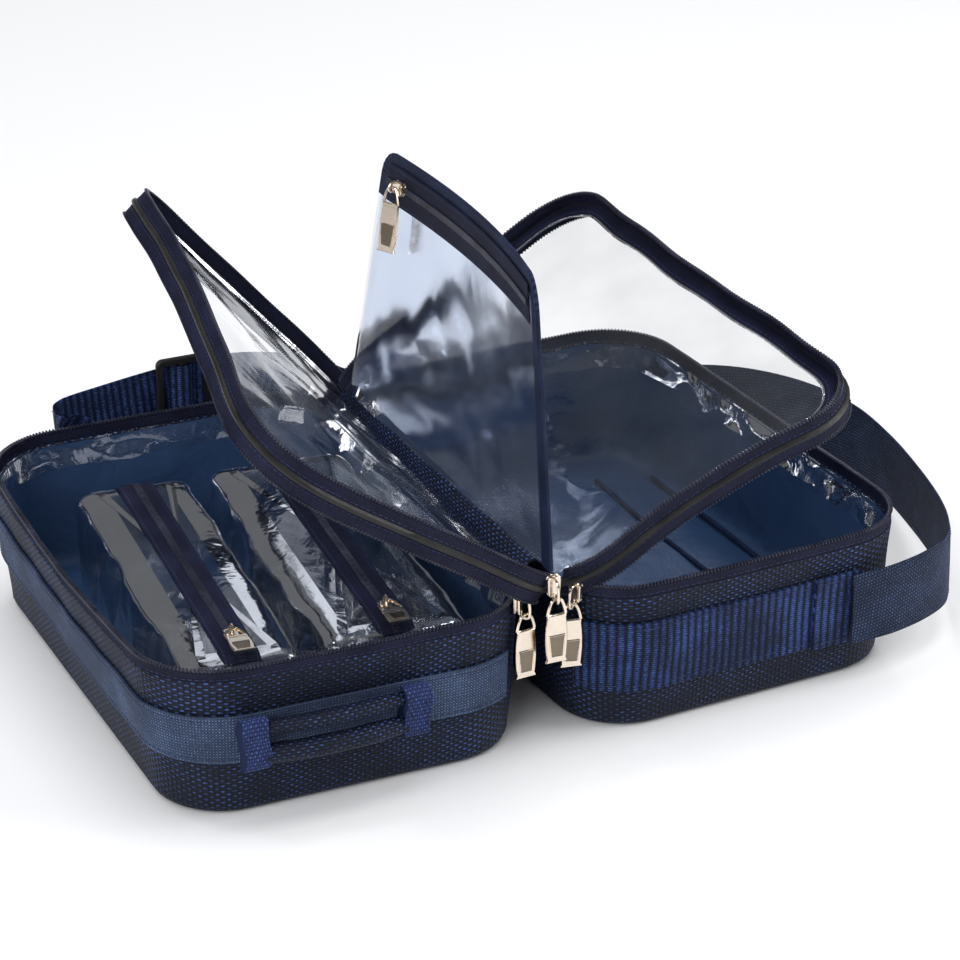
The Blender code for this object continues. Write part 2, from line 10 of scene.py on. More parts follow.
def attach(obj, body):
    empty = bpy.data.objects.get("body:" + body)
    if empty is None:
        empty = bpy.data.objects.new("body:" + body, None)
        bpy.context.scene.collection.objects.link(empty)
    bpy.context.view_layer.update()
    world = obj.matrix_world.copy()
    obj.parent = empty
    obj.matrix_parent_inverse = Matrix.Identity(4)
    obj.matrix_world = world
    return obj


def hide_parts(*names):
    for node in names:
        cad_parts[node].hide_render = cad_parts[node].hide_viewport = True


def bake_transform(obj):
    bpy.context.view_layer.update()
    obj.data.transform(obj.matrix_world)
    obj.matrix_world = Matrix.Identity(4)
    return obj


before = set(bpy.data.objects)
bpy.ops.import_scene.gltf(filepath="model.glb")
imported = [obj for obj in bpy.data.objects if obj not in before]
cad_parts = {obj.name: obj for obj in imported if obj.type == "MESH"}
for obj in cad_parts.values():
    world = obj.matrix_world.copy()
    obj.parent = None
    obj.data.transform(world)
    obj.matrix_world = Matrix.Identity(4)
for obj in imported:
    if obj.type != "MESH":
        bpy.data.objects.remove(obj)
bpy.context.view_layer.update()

MM = 0.001
PI = math.pi

# ------------------------------------------------------------------ measures, in millimetres
LEFT_EDGE = 95.5                     # spine edge of the left tray's rim
RIGHT_EDGE = (108.0, -4.9)           # middle of the right tray's spine edge
RIGHT_YAW = math.radians(3.7)
WIDTH, LENGTH, CORNER = 191.0, 288.0, 40.0
WALL_TOP, RIM_TOP = 72.0, 80.0
DRAFT = 4.5
SLOPE = DRAFT / 67.0

# each page: size, corner, shift along the spine, pivot in its tray's frame, angle, and how far it
# has turned (offset, growth along the spine, growth outward) at each place
LEFT_PAGE = dict(width=192.6, length=287.9, corner=41.0, shift=2.4, pivot=(15.6, 60.5), angle=49.3,
                 turn=(0.826, -0.173, -0.032), start=9.0)
RIGHT_PAGE = dict(width=187.0, length=280.7, corner=39.8, shift=4.3, pivot=(22.3, 62.7), angle=31.1,
                  turn=(1.194, 0.222, -0.415), start=9.0)
PAGE_HEIGHT = 90.0
POCKET = dict(pivot=(2.1, 91.3), angle=99.3, turn=(0.901, -0.132, 0.0))
POCKET_CORNERS = ((4, -109), (135, -109), (156, 139), (4, 139))
POCKET_EDGE = 248                    # its zipped side
POCKET_HEIGHT = 100.0


# ------------------------------------------------------------------ numbers and outlines

def array(values):
    return np.asarray(values, dtype=float)


UP = array((0, 0, 1))


def level(points, z=0.0):
    """Flat points, given a height."""
    return np.concatenate([points, np.full((len(points), 1), z)], axis=1)


def unit(vectors):
    return vectors / np.linalg.norm(vectors, axis=1, keepdims=True)


def compass(angle):
    """The level direction at an angle."""
    return array((math.cos(angle), math.sin(angle), 0))


def straight(points, normal, run):
    """An outline without a bend."""
    return points, np.broadcast_to(array(normal), points.shape), run


def waves(points, length, seed=0, octaves=3, ridged=False):
    """Smooth repeatable noise, about -1 to 1, from sums of sines in turned directions."""
    total = np.zeros(points.shape[:-1])
    rng = np.random.default_rng(seed)
    size = 1.0
    for _ in range(octaves):
        part = np.zeros_like(total)
        for _ in range(4):
            direction = rng.normal(size=points.shape[-1])
            direction /= np.linalg.norm(direction)
            phase = rng.uniform(0, 2 * PI)
            part += np.sin(points @ direction * (2 * PI / length) * rng.uniform(0.75, 1.3) + phase)
        part /= 2.4
        total += size * (1 - 2 * np.abs(part) if ridged else part)
        size *= 0.5
        length *= 0.5
    return total


def arc(centre, radius, first, last, count):
    """Places and outward normals round part of a circle, between two angles in degrees."""
    angles = [math.radians(first + (last - first) * i / count) for i in range(count + 1)]
    normals = [(math.cos(a), math.sin(a)) for a in angles]
    return [(centre[0] + radius * c, centre[1] + radius * s) for c, s in normals], normals


def join(arcs, spacing, closed=False):
    """One outline out of arcs, with the straights between them."""
    places = [place for part in arcs for place in part[0]]
    normals = [normal for part in arcs for normal in part[1]]
    return resample(array(places), array(normals), spacing, closed)


def outline(width, length, corner, start=None, spacing=6.0, steps=10):
    """Rounded rectangle, x outward from 0; with a start it is open on the x = 0 side.

    Gives places, outward normals and the length run, as arrays.
    """
    half, cut, short = length / 2 - corner, 0, steps
    if start is not None:
        cut = math.degrees(math.acos((corner - start) / corner))
        short = max(3, int(steps * (90 - cut) / 90))
    return join([arc((corner, -half), corner, 180 + cut, 270, short),
                 arc((width - corner, -half), corner, 270, 360, steps),
                 arc((width - corner, half), corner, 0, 90, steps),
                 arc((corner, half), corner, 90, 180 - cut, short)], spacing, start is None)


def resample(places, normals, spacing, closed):
    """Adds points on the long straight runs and measures the length run."""
    out_places, out_normals = [], []
    count = len(places)
    for i in range(count if closed else count - 1):
        here, there = places[i], places[(i + 1) % count]
        gap = np.linalg.norm(there - here)
        if gap < 1e-6:
            continue
        parts = max(1, int(round(gap / spacing)))
        for k in range(parts):
            t = k / parts
            normal = normals[i] * (1 - t) + normals[(i + 1) % count] * t
            out_places.append(here * (1 - t) + there * t)
            out_normals.append(normal / np.linalg.norm(normal))
    if not closed:
        out_places.append(places[-1])
        out_normals.append(normals[-1])
    out_places = array(out_places)
    steps = np.linalg.norm(np.diff(out_places, axis=0), axis=1)
    return out_places, array(out_normals), np.concatenate(([0], np.cumsum(steps)))


def along(path, run):
    """Place and normal at given lengths along an outline."""
    places, normals, length = path
    place = np.stack([np.interp(run, length, places[:, k]) for k in (0, 1)], axis=1)
    normal = np.stack([np.interp(run, length, normals[:, k]) for k in (0, 1)], axis=1)
    return place, unit(normal)


def part_of(path, first, last, spacing=4.0):
    """The stretch of an outline between two lengths."""
    run = np.linspace(first, last, max(2, int((last - first) / spacing) + 1))
    place, normal = along(path, run)
    return place, normal, run - run[0]


# ------------------------------------------------------------------ frames and bends

def left_world(p):
    return np.stack([LEFT_EDGE - p[..., 0], -p[..., 1], p[..., 2]], axis=-1)


def right_world(p):
    c, s = math.cos(RIGHT_YAW), math.sin(RIGHT_YAW)
    return np.stack([RIGHT_EDGE[0] + p[..., 0] * c - p[..., 1] * s,
                     RIGHT_EDGE[1] + p[..., 0] * s + p[..., 1] * c, p[..., 2]], axis=-1)


def soften(p, bow, sag, seed):
    """A tray's outer wall stands bowed, and its cloth is never quite flat."""
    x, y, z = p[..., 0], p[..., 1], p[..., 2]
    high = np.clip(z / RIM_TOP, 0, 1.2)
    middle = np.clip(1 - (y / (LENGTH / 2)) ** 2, 0, 1)
    outer = np.clip(x / WIDTH, 0, 1) ** 4
    ripple = waves(p, 95.0, seed, 2)
    share = np.clip((z - 4) / 20, 0, 1)
    moved = p.copy()
    moved[..., 0] += bow * outer * middle * high + 0.5 * ripple * share
    moved[..., 1] += 0.6 * waves(p + 300, 80.0, seed + 1, 2) * share
    moved[..., 2] -= sag * outer * middle * high ** 3 + 0.4 * np.abs(ripple) * high ** 4
    return moved


def left_tray(p):
    return left_world(soften(p, 6.0, 3.5, 3))


def right_tray(p):
    return right_world(soften(p, 3.0, 1.5, 8))


def turned(p, pivot, angle):
    """Turns places about a line along y, up from the shut pose."""
    dx, dz = p[..., 0] - pivot[0], p[..., 2] - pivot[1]
    c, s = np.cos(angle), np.sin(angle)
    return np.stack([pivot[0] + dx * c - dz * s, p[..., 1], pivot[1] + dx * s + dz * c], axis=-1)


LEAF_REACH, LEAF_HALF = 190, 145     # outward, and along the spine, over which a turn changes
MEAN_TURN = 0.93                     # how far a leaf has turned on the whole
BEND_STEPS = 25                      # enough for the place of a bent leaf to settle


def leaf_turn(leaf):
    """The straight ramp that says how far a leaf has turned, as an offset and a gradient."""
    base, growth, outward = leaf["turn"]
    angle = math.radians(leaf["angle"]) * MEAN_TURN
    px, pz = leaf["pivot"]
    gradient = array((outward * math.cos(angle) / LEAF_REACH, growth / LEAF_HALF,
                      outward * math.sin(angle) / LEAF_REACH))
    offset = base + outward * px / LEAF_REACH - gradient @ array((px, 0, pz))
    return offset, gradient


def leaf_bend(leaf):
    """Places a leaf, given as it lies in the shut case, where it rests with the case open.

    It is the inverse of the blend across its hinge, so the leaf is flat when the case is shut.
    """
    offset, gradient = leaf_turn(leaf)
    angle = math.radians(leaf["angle"])

    def place(p):
        here = turned(p, leaf["pivot"], angle)
        for _ in range(BEND_STEPS):
            ramp = np.clip(offset + here @ gradient, 0, 1)
            here = turned(p, leaf["pivot"], angle * (3 * ramp ** 2 - 2 * ramp ** 3))
        return here
    return place


def hinged(leaf, world):
    offset, gradient = leaf_turn(leaf)
    size = gradient @ gradient
    first = -offset * gradient / size
    ends = world(array([first, first + gradient / size])) * MM

    def declare(piece):
        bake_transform(piece)
    return declare


LEFT_LEAF, RIGHT_LEAF, POCKET_LEAF = leaf_bend(LEFT_PAGE), leaf_bend(RIGHT_PAGE), leaf_bend(POCKET)


def uneven(p, seed):
    """Sewing puckers a soft frame: every part of a page wavers with it."""
    moved = p.copy()
    flat = p * array((1, 1, 0))
    free = np.clip((p[..., 0] - 12) / 50, 0, 1)
    moved[..., 0] += 1.3 * waves(flat, 110.0, seed, 2) * free
    moved[..., 1] += 1.1 * waves(flat + 200, 100.0, seed + 1, 2) * free
    moved[..., 2] += 0.45 * waves(flat + 400, 85.0, seed + 2, 2) * free
    return moved


def on_left_page(p):
    return left_world(LEFT_LEAF(uneven(p, 15) + array((0, LEFT_PAGE["shift"], PAGE_HEIGHT))))


def on_right_page(p):
    """This page is also drawn in along its back edge and in the middle of its outer edge."""
    put = RIGHT_LEAF(uneven(p, 19) + array((0, RIGHT_PAGE["shift"], PAGE_HEIGHT)))
    put[..., 1] -= 13 * np.clip((p[..., 1] + 20) / 160, 0, 1.05) ** 2
    middle = np.clip(1 - ((p[..., 1] - 5) / 115) ** 2, 0, 1)
    put[..., 0] -= 6 * np.clip(p[..., 0] / RIGHT_PAGE["width"], 0, 1.05) ** 2 * middle
    return right_world(put)


def on_pocket(p):
    return left_world(POCKET_LEAF(p + array((0, 0, POCKET_HEIGHT))))


def as_is(p):
    return p


# ------------------------------------------------------------------ mesh building

def run_of(points, closed, gap):
    """Length run along points, with the way back to the first one if they close."""
    run = list(np.concatenate(([0], np.cumsum(np.linalg.norm(np.diff(points, axis=0), axis=1)))))
    return run + [run[-1] + float(np.linalg.norm(gap))] if closed else run


def show(name, data):
    """A new object in the scene."""
    made = bpy.data.objects.new(name, data)
    bpy.context.scene.collection.objects.link(made)
    return made


class Builder:
    """Gathers grids and solids, in millimetres, with texture places in millimetres too."""

    def __init__(self):
        self.verts, self.faces, self.uvs, self.slots = [], [], [], []
        self.count = 0

    def add(self, verts, faces, uvs, slot=0):
        base = self.count
        self.verts.append(array(verts).reshape(-1, 3))
        self.count += len(self.verts[-1])
        for face, uv in zip(faces, uvs):
            self.faces.append([base + i for i in face])
            self.uvs.extend(uv)
            self.slots.append(slot)

    def grid(self, pts, loop_i=False, loop_j=False, caps=False, slot=0, uvs=None):
        """Skin over rows of points; u runs with the rows and v across them, if none are given."""
        rows, cols = pts.shape[:2]
        u = run_of(pts[:, 0], loop_i, pts[0, 0] - pts[-1, 0])
        v = run_of(pts[rows // 2], loop_j, pts[0, 0] - pts[0, -1])
        faces, corners = [], []
        for i in range(rows if loop_i else rows - 1):
            for j in range(cols if loop_j else cols - 1):
                four = ((i, j), (i, j + 1), (i + 1, j + 1), (i + 1, j))
                faces.append([a % rows * cols + b % cols for a, b in four])
                corners.append([(u[a], v[b]) if uvs is None else tuple(uvs[a % rows, b % cols])
                                for a, b in four])
        if caps:
            for ring in (range(cols - 1, -1, -1), range((rows - 1) * cols, rows * cols)):
                faces.append(list(ring))
                corners.append([(v[k], 0.0) for k in range(cols)])
        self.add(pts, faces, corners, slot)

    def band(self, path, section, shape, slot=0):
        """A closed section carried along an open outline."""
        self.grid(swept(path, section, shape), loop_j=True, caps=True, slot=slot)

    def make(self, name, materials, body, nodes=(), smooth=40.0, weld=False):
        """The finished piece; body names what it rides on, or is a call that is handed the piece."""
        mesh = bpy.data.meshes.new(name)
        verts = np.concatenate(self.verts) * MM
        mesh.from_pydata(verts.tolist(), [], self.faces)
        layer = mesh.uv_layers.new(name="UVMap")
        layer.data.foreach_set("uv", array(self.uvs).ravel())
        for m in materials if isinstance(materials, (list, tuple)) else [materials]:
            mesh.materials.append(m)
        mesh.polygons.foreach_set("material_index", self.slots)
        mesh.update()
        if weld:
            bm = bmesh.new()
            bm.from_mesh(mesh)
            bmesh.ops.remove_doubles(bm, verts=bm.verts, dist=1e-6)
            bm.to_mesh(mesh)
            bm.free()
        mesh.shade_smooth()
        mesh.set_sharp_from_angle(angle=math.radians(smooth))
        made = show(name, mesh)
        if isinstance(body, str):
            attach(made, body)
        else:
            body(made)
        if nodes:
            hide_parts(*nodes)
        return made


def swept(path, section, shape=as_is):
    """Rows of points: a section of (out, up) pairs carried along an outline, then placed."""
    places, normals, _ = path
    section = array(section)
    if section.ndim == 2:
        section = np.broadcast_to(section, (len(places),) + section.shape)
    out, up = section[..., 0], section[..., 1]
    flat = places[:, None, :] + normals[:, None, :] * out[..., None]
    return shape(np.concatenate([flat, up[..., None]], axis=-1))


def rect(low, high, bottom, top, cut):
    """Section of a band, its corners cut off."""
    return [(low + cut, bottom), (high - cut, bottom), (high, bottom + cut), (high, top - cut),
            (high - cut, top), (low + cut, top), (low, top - cut), (low, bottom + cut)]


def disc(out, up, radius, sides=8):
    """Section of a cord."""
    angles = [2 * PI * i / sides for i in range(sides)]
    return [(out + radius * math.cos(a), up + radius * math.sin(a)) for a in angles]


def copies(builder, centre, axes, template, faces, shape=as_is, slot=0):
    """Places one small solid many times; axes are three unit vectors for each copy."""
    template = array(template)
    a, b, c = [axis[:, None, :] * template[None, :, k:k + 1] for k, axis in enumerate(axes)]
    pts = shape(centre[:, None, :] + a + b + c)
    size = len(template)
    all_faces = [tuple(k * size + i for i in face) for k in range(len(centre)) for face in faces]
    uvs = [[(0.0, 0.0)] * len(face) for face in all_faces]
    builder.add(pts.reshape(-1, 3), all_faces, uvs, slot)


def pill(length, width, height, taper=0.62):
    """A small rounded block: an octagon across, narrowed at both ends."""
    octagon = ((-0.5, -0.22), (-0.22, -0.5), (0.22, -0.5), (0.5, -0.22), (0.5, 0.22), (0.22, 0.5),
               (-0.22, 0.5), (-0.5, 0.22))
    stations = ((-0.5, taper), (-0.3, 1.0), (0.3, 1.0), (0.5, taper))
    verts = [(x * length, y * width * share, z * height * share)
             for x, share in stations for y, z in octagon]
    faces = [tuple(range(7, -1, -1)), tuple(range(24, 32))]
    for k in (0, 8, 16):
        for j in range(8):
            after = (j + 1) % 8
            faces.append((k + j, k + after, k + 8 + after, k + 8 + j))
    return verts, faces


def frames_along(path, run, out, up):
    """Places at lengths along an outline, shifted out and up, and the three directions there."""
    place, normal = along(path, run)
    outward = level(normal)
    forward = level(np.concatenate([-normal[:, 1:2], normal[:, 0:1]], axis=1))
    return level(place + normal * out, up), outward, forward, np.broadcast_to(UP, outward.shape)


def teeth(builder, path, out, up, pitch=1.9, shape=as_is, slot=0, size=(2.5, 1.15, 1.7)):
    """Zip coil: one oblong turn after another across the path."""
    run = np.arange(0.6, path[2][-1] - 0.4, pitch)
    centre, outward, forward, upward = frames_along(path, run, out, up)
    copies(builder, centre, (outward, forward, upward), *pill(*size), shape, slot)


def stitches(builder, path, out, up, pitch=3.4, dash=2.3, shape=as_is, slot=0, thick=0.45):
    """Sewn thread: short dashes that lie on the cloth."""
    run = np.arange(1.5, path[2][-1] - 1.0, pitch)
    centre, outward, forward, upward = frames_along(path, run, out, up)
    copies(builder, centre, (forward, upward, outward), *pill(dash, thick, thick, 0.5), shape, slot)


# ------------------------------------------------------------------ materials

class Nodes:
    """A material's node tree, with short calls for what repeats."""

    def __init__(self, name):
        self.material = bpy.data.materials.new(name)
        self.material.use_nodes = True
        self.tree = self.material.node_tree
        self.shader = self.tree.nodes["Principled BSDF"]

    def new(self, kind, **settings):
        node = self.tree.nodes.new(kind)
        for key, value in settings.items():
            setattr(node, key, value)
        return node

    def link(self, source, target):
        self.tree.links.new(source, target)

    def put(self, socket, value):
        if hasattr(value, "is_linked"):
            self.link(value, socket)
        else:
            socket.default_value = value

    def maths(self, operation, *values, clamp=False):
        node = self.new("ShaderNodeMath", operation=operation, use_clamp=clamp)
        for socket, value in zip(node.inputs, values):
            self.put(socket, value)
        return node.outputs[0]

    def uv(self):
        split = self.new("ShaderNodeSeparateXYZ")
        self.link(self.new("ShaderNodeTexCoord").outputs["UV"], split.inputs[0])
        return split.outputs[0], split.outputs[1]

    def hump(self, value):
        """The size of a sine."""
        return self.maths("ABSOLUTE", self.maths("SINE", value))

    def noise(self, scale, detail=3.0, rough=0.55, distortion=0.0):
        node = self.new("ShaderNodeTexNoise")
        place = self.new("ShaderNodeTexCoord").outputs["Object"]
        for key, value in (("Vector", place), ("Scale", scale), ("Detail", detail),
                           ("Roughness", rough), ("Distortion", distortion)):
            self.put(node.inputs[key], value)
        return node.outputs["Fac"]

    def ramp(self, value, stops):
        node = self.new("ShaderNodeValToRGB")
        points = node.color_ramp.elements
        while len(points) < len(stops):
            points.new(0.5)
        for point, (at, colour) in zip(points, stops):
            point.position = at
            point.color = (*colour, 1.0) if len(colour) == 3 else colour
        self.put(node.inputs["Fac"], value)
        return node.outputs["Color"]

    def remap(self, value, low, high, to_low, to_high):
        node = self.new("ShaderNodeMapRange")
        for socket, item in zip(node.inputs, (value, low, high, to_low, to_high)):
            self.put(socket, item)
        return node.outputs[0]

    def bump(self, height, distance, strength=1.0, after=None):
        node = self.new("ShaderNodeBump")
        node.inputs["Strength"].default_value = strength
        node.inputs["Distance"].default_value = distance * MM
        self.put(node.inputs["Height"], height)
        if after is not None:
            self.link(after, node.inputs["Normal"])
        return node.outputs["Normal"]

    def finish(self, **values):
        for key, value in values.items():
            self.put(self.shader.inputs[key.replace("_", " ")], value)
        return self.material


THREAD_ROUND = 0.45                  # below 1, so that a thread is flat on top
CLOTH_GLOSS = 0.16


def basket(n, u, v, pitch_u, pitch_v):
    """Plain weave: height of the threads, and which of the two sets is on top."""
    a = n.maths("DIVIDE", u, pitch_u)
    b = n.maths("DIVIDE", v, pitch_v)
    cell = n.maths("ADD", n.maths("FLOOR", a), n.maths("FLOOR", b))
    over = n.maths("PINGPONG", cell, 1.0)
    wave_a, wave_b = n.hump(n.maths("MULTIPLY", a, PI)), n.hump(n.maths("MULTIPLY", b, PI))
    warp = n.maths("MULTIPLY", n.maths("POWER", wave_a, THREAD_ROUND), wave_b)
    weft = n.maths("MULTIPLY", wave_a, n.maths("POWER", wave_b, THREAD_ROUND))
    mixed = n.maths("ADD", n.maths("MULTIPLY", warp, over),
                    n.maths("MULTIPLY", weft, n.maths("SUBTRACT", 1.0, over)))
    return mixed, over


def worn_smooth(n, height, rough):
    """Cloth is duller in its hollows."""
    return n.remap(height, 0.0, 1.0, min(rough + 0.25, 1.0), rough)


def woven(name, dark, light, pitch=(2.2, 1.5), rough=0.5, depth=0.35, under_highlight_share=0.5, slanted=False,
          gloss=CLOTH_GLOSS):
    """Woven synthetic cloth: two sets of threads, unevenly dyed, with painted shade in the hollows of the
    weave and a painted highlight on the thread tops.
    """
    n = Nodes(name)
    u, v = n.uv()
    if slanted:
        u, v = n.maths("ADD", u, v), n.maths("SUBTRACT", u, v)
    height, over = basket(n, u, v, *pitch)
    grain = n.noise(900.0, 2.0)
    cloudy = n.noise(38.0, 3.0)
    lift = n.maths("MULTIPLY", height, n.remap(grain, 0.3, 0.7, 0.45, 1.0))
    # colour follows thread height: painted shade in the hollows of the weave and a painted highlight on the
    # thread tops, which the under threads get only in part; the cloudy share is uneven dye
    tone = n.maths("ADD", n.maths("MULTIPLY", lift, n.remap(over, 0.0, 1.0, under_highlight_share, 1.0)),
                   n.remap(cloudy, 0.35, 0.65, -0.12, 0.12), clamp=True)
    colour = n.ramp(tone, ((0.12, tuple(c * 0.35 for c in dark)), (0.5, dark), (0.95, light)))
    normal = n.bump(grain, 0.08, 0.6, n.bump(height, depth, 0.9))
    return n.finish(Base_Color=colour, Roughness=worn_smooth(n, lift, rough), Normal=normal,
                    Specular_IOR_Level=gloss)


def ribbed(name, dark, light, rib=2.6, across=1.1, rough=0.5, depth=0.3, run_along=True):
    """Webbing or ribbon: ribs along or across its length, with fine threads over them, painted shade in
    their hollows and a painted highlight on their tops.
    """
    n = Nodes(name)
    u, v = n.uv()
    if not run_along:
        u, v = v, u
    big = n.maths("POWER", n.hump(n.maths("MULTIPLY", v, PI / rib)), 0.6)
    row = n.maths("FLOOR", n.maths("DIVIDE", v, rib))
    offset = n.maths("MULTIPLY", row, 0.5 * across)
    fine = n.hump(n.maths("MULTIPLY", n.maths("ADD", u, offset), PI / across))
    height = n.maths("MULTIPLY", big, n.remap(fine, 0.0, 1.0, 0.45, 1.0))
    grain = n.noise(1100.0, 2.0)
    cloudy = n.noise(45.0, 3.0)
    # colour follows rib and thread height: painted shade in the hollows and a painted highlight on the
    # tops; the cloudy share is uneven tone
    tone = n.maths("ADD", n.maths("MULTIPLY", height, n.remap(grain, 0.3, 0.7, 0.5, 1.0)),
                   n.remap(cloudy, 0.35, 0.65, -0.1, 0.12), clamp=True)
    colour = n.ramp(tone, ((0.1, tuple(c * 0.4 for c in dark)), (0.5, dark), (0.92, light)))
    normal = n.bump(grain, 0.06, 0.6, n.bump(height, depth, 0.9))
    return n.finish(Base_Color=colour, Roughness=worn_smooth(n, height, rough), Normal=normal,
                    Specular_IOR_Level=CLOTH_GLOSS)


def coated(name, dark, light, rough=0.28):
    """Smooth coated lining cloth: a fine grid under a soft shine, with creases."""
    n = Nodes(name)
    u, v = n.uv()
    height, _ = basket(n, u, v, 0.9, 0.9)
    crease = n.noise(22.0, 4.0, 0.6, distortion=1.2)
    cloudy = n.noise(9.0, 3.0)
    # the crease share of the colour is painted shade in the crease hollows and a painted highlight on their
    # ridges; the cloudy share is uneven tone
    mixed = n.maths("ADD", n.maths("MULTIPLY", cloudy, 0.7), n.maths("MULTIPLY", crease, 0.3))
    colour = n.ramp(mixed, ((0.3, dark), (0.7, light)))
    normal = n.bump(height, 0.06, 0.5, n.bump(crease, 2.2, 0.8))
    return n.finish(Base_Color=colour, Roughness=n.remap(crease, 0.3, 0.7, rough, rough + 0.2),
                    Normal=normal, Specular_IOR_Level=0.3)


FILM_IOR = 1.5


def vinyl(name, haze, strength, rough, tint, crease_scale, crease, patchy=0.06):
    """Clear film: nearly invisible face on, and a bright mirror at a slant or along a crease."""
    n = Nodes(name)
    wide = n.noise(crease_scale, 3.0, 0.5, distortion=0.8)
    sharp = n.noise(crease_scale * 3.2, 2.0, 0.5, distortion=1.6)
    normal = n.bump(sharp, crease * 0.35, 0.6, n.bump(wide, crease, 0.7))
    gloss = n.new("ShaderNodeFresnel")
    gloss.inputs["IOR"].default_value = FILM_IOR
    n.link(normal, gloss.inputs["Normal"])
    dust = n.remap(n.noise(14.0, 4.0), 0.35, 0.75, 0.4, 1.6)
    alpha = n.maths("ADD", n.maths("MULTIPLY", gloss.outputs[0], strength),
                    n.maths("MULTIPLY", dust, haze), clamp=True)
    return n.finish(Base_Color=(*tint, 1.0), Metallic=1.0, Normal=normal, Alpha=alpha,
                    Roughness=n.remap(wide, 0.3, 0.7, rough, rough + patchy))


def metal(name, colour, rough=0.12):
    """Pale gold plating, hand-worn: fine scratches and a duller patch here and there."""
    n = Nodes(name)
    worn = n.noise(160.0, 4.0)
    scratch = n.noise(1400.0, 2.0, distortion=2.0)
    tone = n.ramp(n.maths("ADD", n.maths("MULTIPLY", worn, 0.6), n.maths("MULTIPLY", scratch, 0.4)),
                  ((0.3, tuple(c * 0.8 for c in colour)), (0.7, colour)))
    return n.finish(Base_Color=tone, Metallic=1.0, Normal=n.bump(scratch, 0.02, 0.5),
                    Roughness=n.remap(worn, 0.3, 0.7, rough, rough + 0.16))


def moulded(name, colour, light, rough=0.4, grain=600.0, depth=0.05):
    """Moulded nylon or plastic with a fine skin."""
    n = Nodes(name)
    skin = n.noise(grain, 3.0)
    cloudy = n.noise(60.0, 2.0)
    return n.finish(Base_Color=n.ramp(cloudy, ((0.3, colour), (0.75, light))),
                    Roughness=n.remap(skin, 0.3, 0.7, rough - 0.06, rough + 0.14),
                    Normal=n.bump(skin, depth, 0.6), Specular_IOR_Level=0.3)


NYLON = woven("nylon_weave", (0.005, 0.010, 0.034), (0.055, 0.115, 0.36), (2.3, 1.55), 0.42, 0.5,
              0.2, gloss=0.25)
LINING = coated("blue_lining", (0.013, 0.032, 0.082), (0.030, 0.062, 0.140))
TAPE = ribbed("zip_tape_weave", (0.008, 0.009, 0.026), (0.022, 0.026, 0.062), 0.9, 0.8, 0.6, 0.12)
THREAD = moulded("sewing_thread", (0.012, 0.016, 0.045), (0.03, 0.04, 0.10), 0.6, 900.0)
COIL = moulded("zip_coil", (0.010, 0.011, 0.022), (0.034, 0.036, 0.060), 0.28)
PIPING = moulded("olive_piping", (0.008, 0.008, 0.009), (0.020, 0.019, 0.019), 0.4, 500.0, 0.08)
BINDING = ribbed("grosgrain_binding", (0.006, 0.010, 0.032), (0.026, 0.046, 0.130), 1.3, 0.8, 0.55,
                 0.2, False)
LEFT_WEBBING = woven("narrow_webbing", (0.056, 0.086, 0.165), (0.190, 0.270, 0.450), (1.5, 1.5),
                     0.5, 0.28, 0.55, slanted=True)
RIGHT_WEBBING = ribbed("wide_webbing", (0.006, 0.012, 0.042), (0.050, 0.105, 0.330), 4.2, 1.2, 0.45,
                       0.4, False)
STRAP_WEAVE = woven("strap_webbing", (0.020, 0.034, 0.080), (0.100, 0.150, 0.290), (2.0, 1.6), 0.5,
                    0.45, 0.4, slanted=True)
STRAP_RIBBED = ribbed("ribbed_strap", (0.006, 0.013, 0.046), (0.060, 0.120, 0.340), 4.0, 1.2, 0.5,
                      0.45, False)
KNIT = woven("elastic_knit", (0.030, 0.048, 0.150), (0.090, 0.135, 0.360), (1.2, 2.0), 0.65, 0.35,
             0.6)
FILM = vinyl("clear_vinyl", 0.18, 0.85, 0.05, (0.80, 0.84, 0.90), 11.0, 1.3, 0.10)
FILM_CALM = vinyl("smooth_vinyl", 0.19, 0.6, 0.08, (0.62, 0.70, 0.86), 7.0, 0.7, 0.14)
FILM_DENSE = vinyl("crumpled_vinyl", 0.10, 0.8, 0.06, (0.86, 0.87, 0.9), 16.0, 1.8)
FILM_EDGE = vinyl("welded_vinyl_edge", 0.28, 1.6, 0.12, (0.9, 0.9, 0.93), 40.0, 0.8)
GOLD = metal("pale_gold", (0.92, 0.80, 0.66))
DARK_GOLD = metal("dark_panel", (0.24, 0.20, 0.15), 0.22)
BLACK = moulded("black_plastic", (0.006, 0.006, 0.007), (0.016, 0.016, 0.018), 0.42)


# ------------------------------------------------------------------ trays

def wall(heights, gap):
    """Section points that follow the sloping wall at a distance outside it."""
    return [(gap - SLOPE * max(WALL_TOP - z, 0.0), z) for z in heights]


def fill(builder, ring, middle, shape, shares, relief=None):
    """Closes a flat ring of points with smaller and smaller copies of it."""
    centre = array(middle)
    rows = array([centre + (ring - centre) * share for share in shares])
    flat = rows.copy()
    if relief is not None:
        rows = relief(rows, array(shares))
    builder.grid(shape(rows), loop_j=True, uvs=flat[..., :2])
    builder.add(shape(rows[-1]), [range(len(ring))], [[tuple(q[:2]) for q in flat[-1]]])


def spine_run(start=3.0):
    """The short way across the spine side, from the front corner to the back one."""
    half = LENGTH / 2 - CORNER
    cut = math.degrees(math.acos((CORNER - start) / CORNER))
    return join([arc((CORNER, -half), CORNER, 180 + cut, 180, 4),
                 arc((CORNER, half), CORNER, 180, 180 - cut, 4)], 8.0)


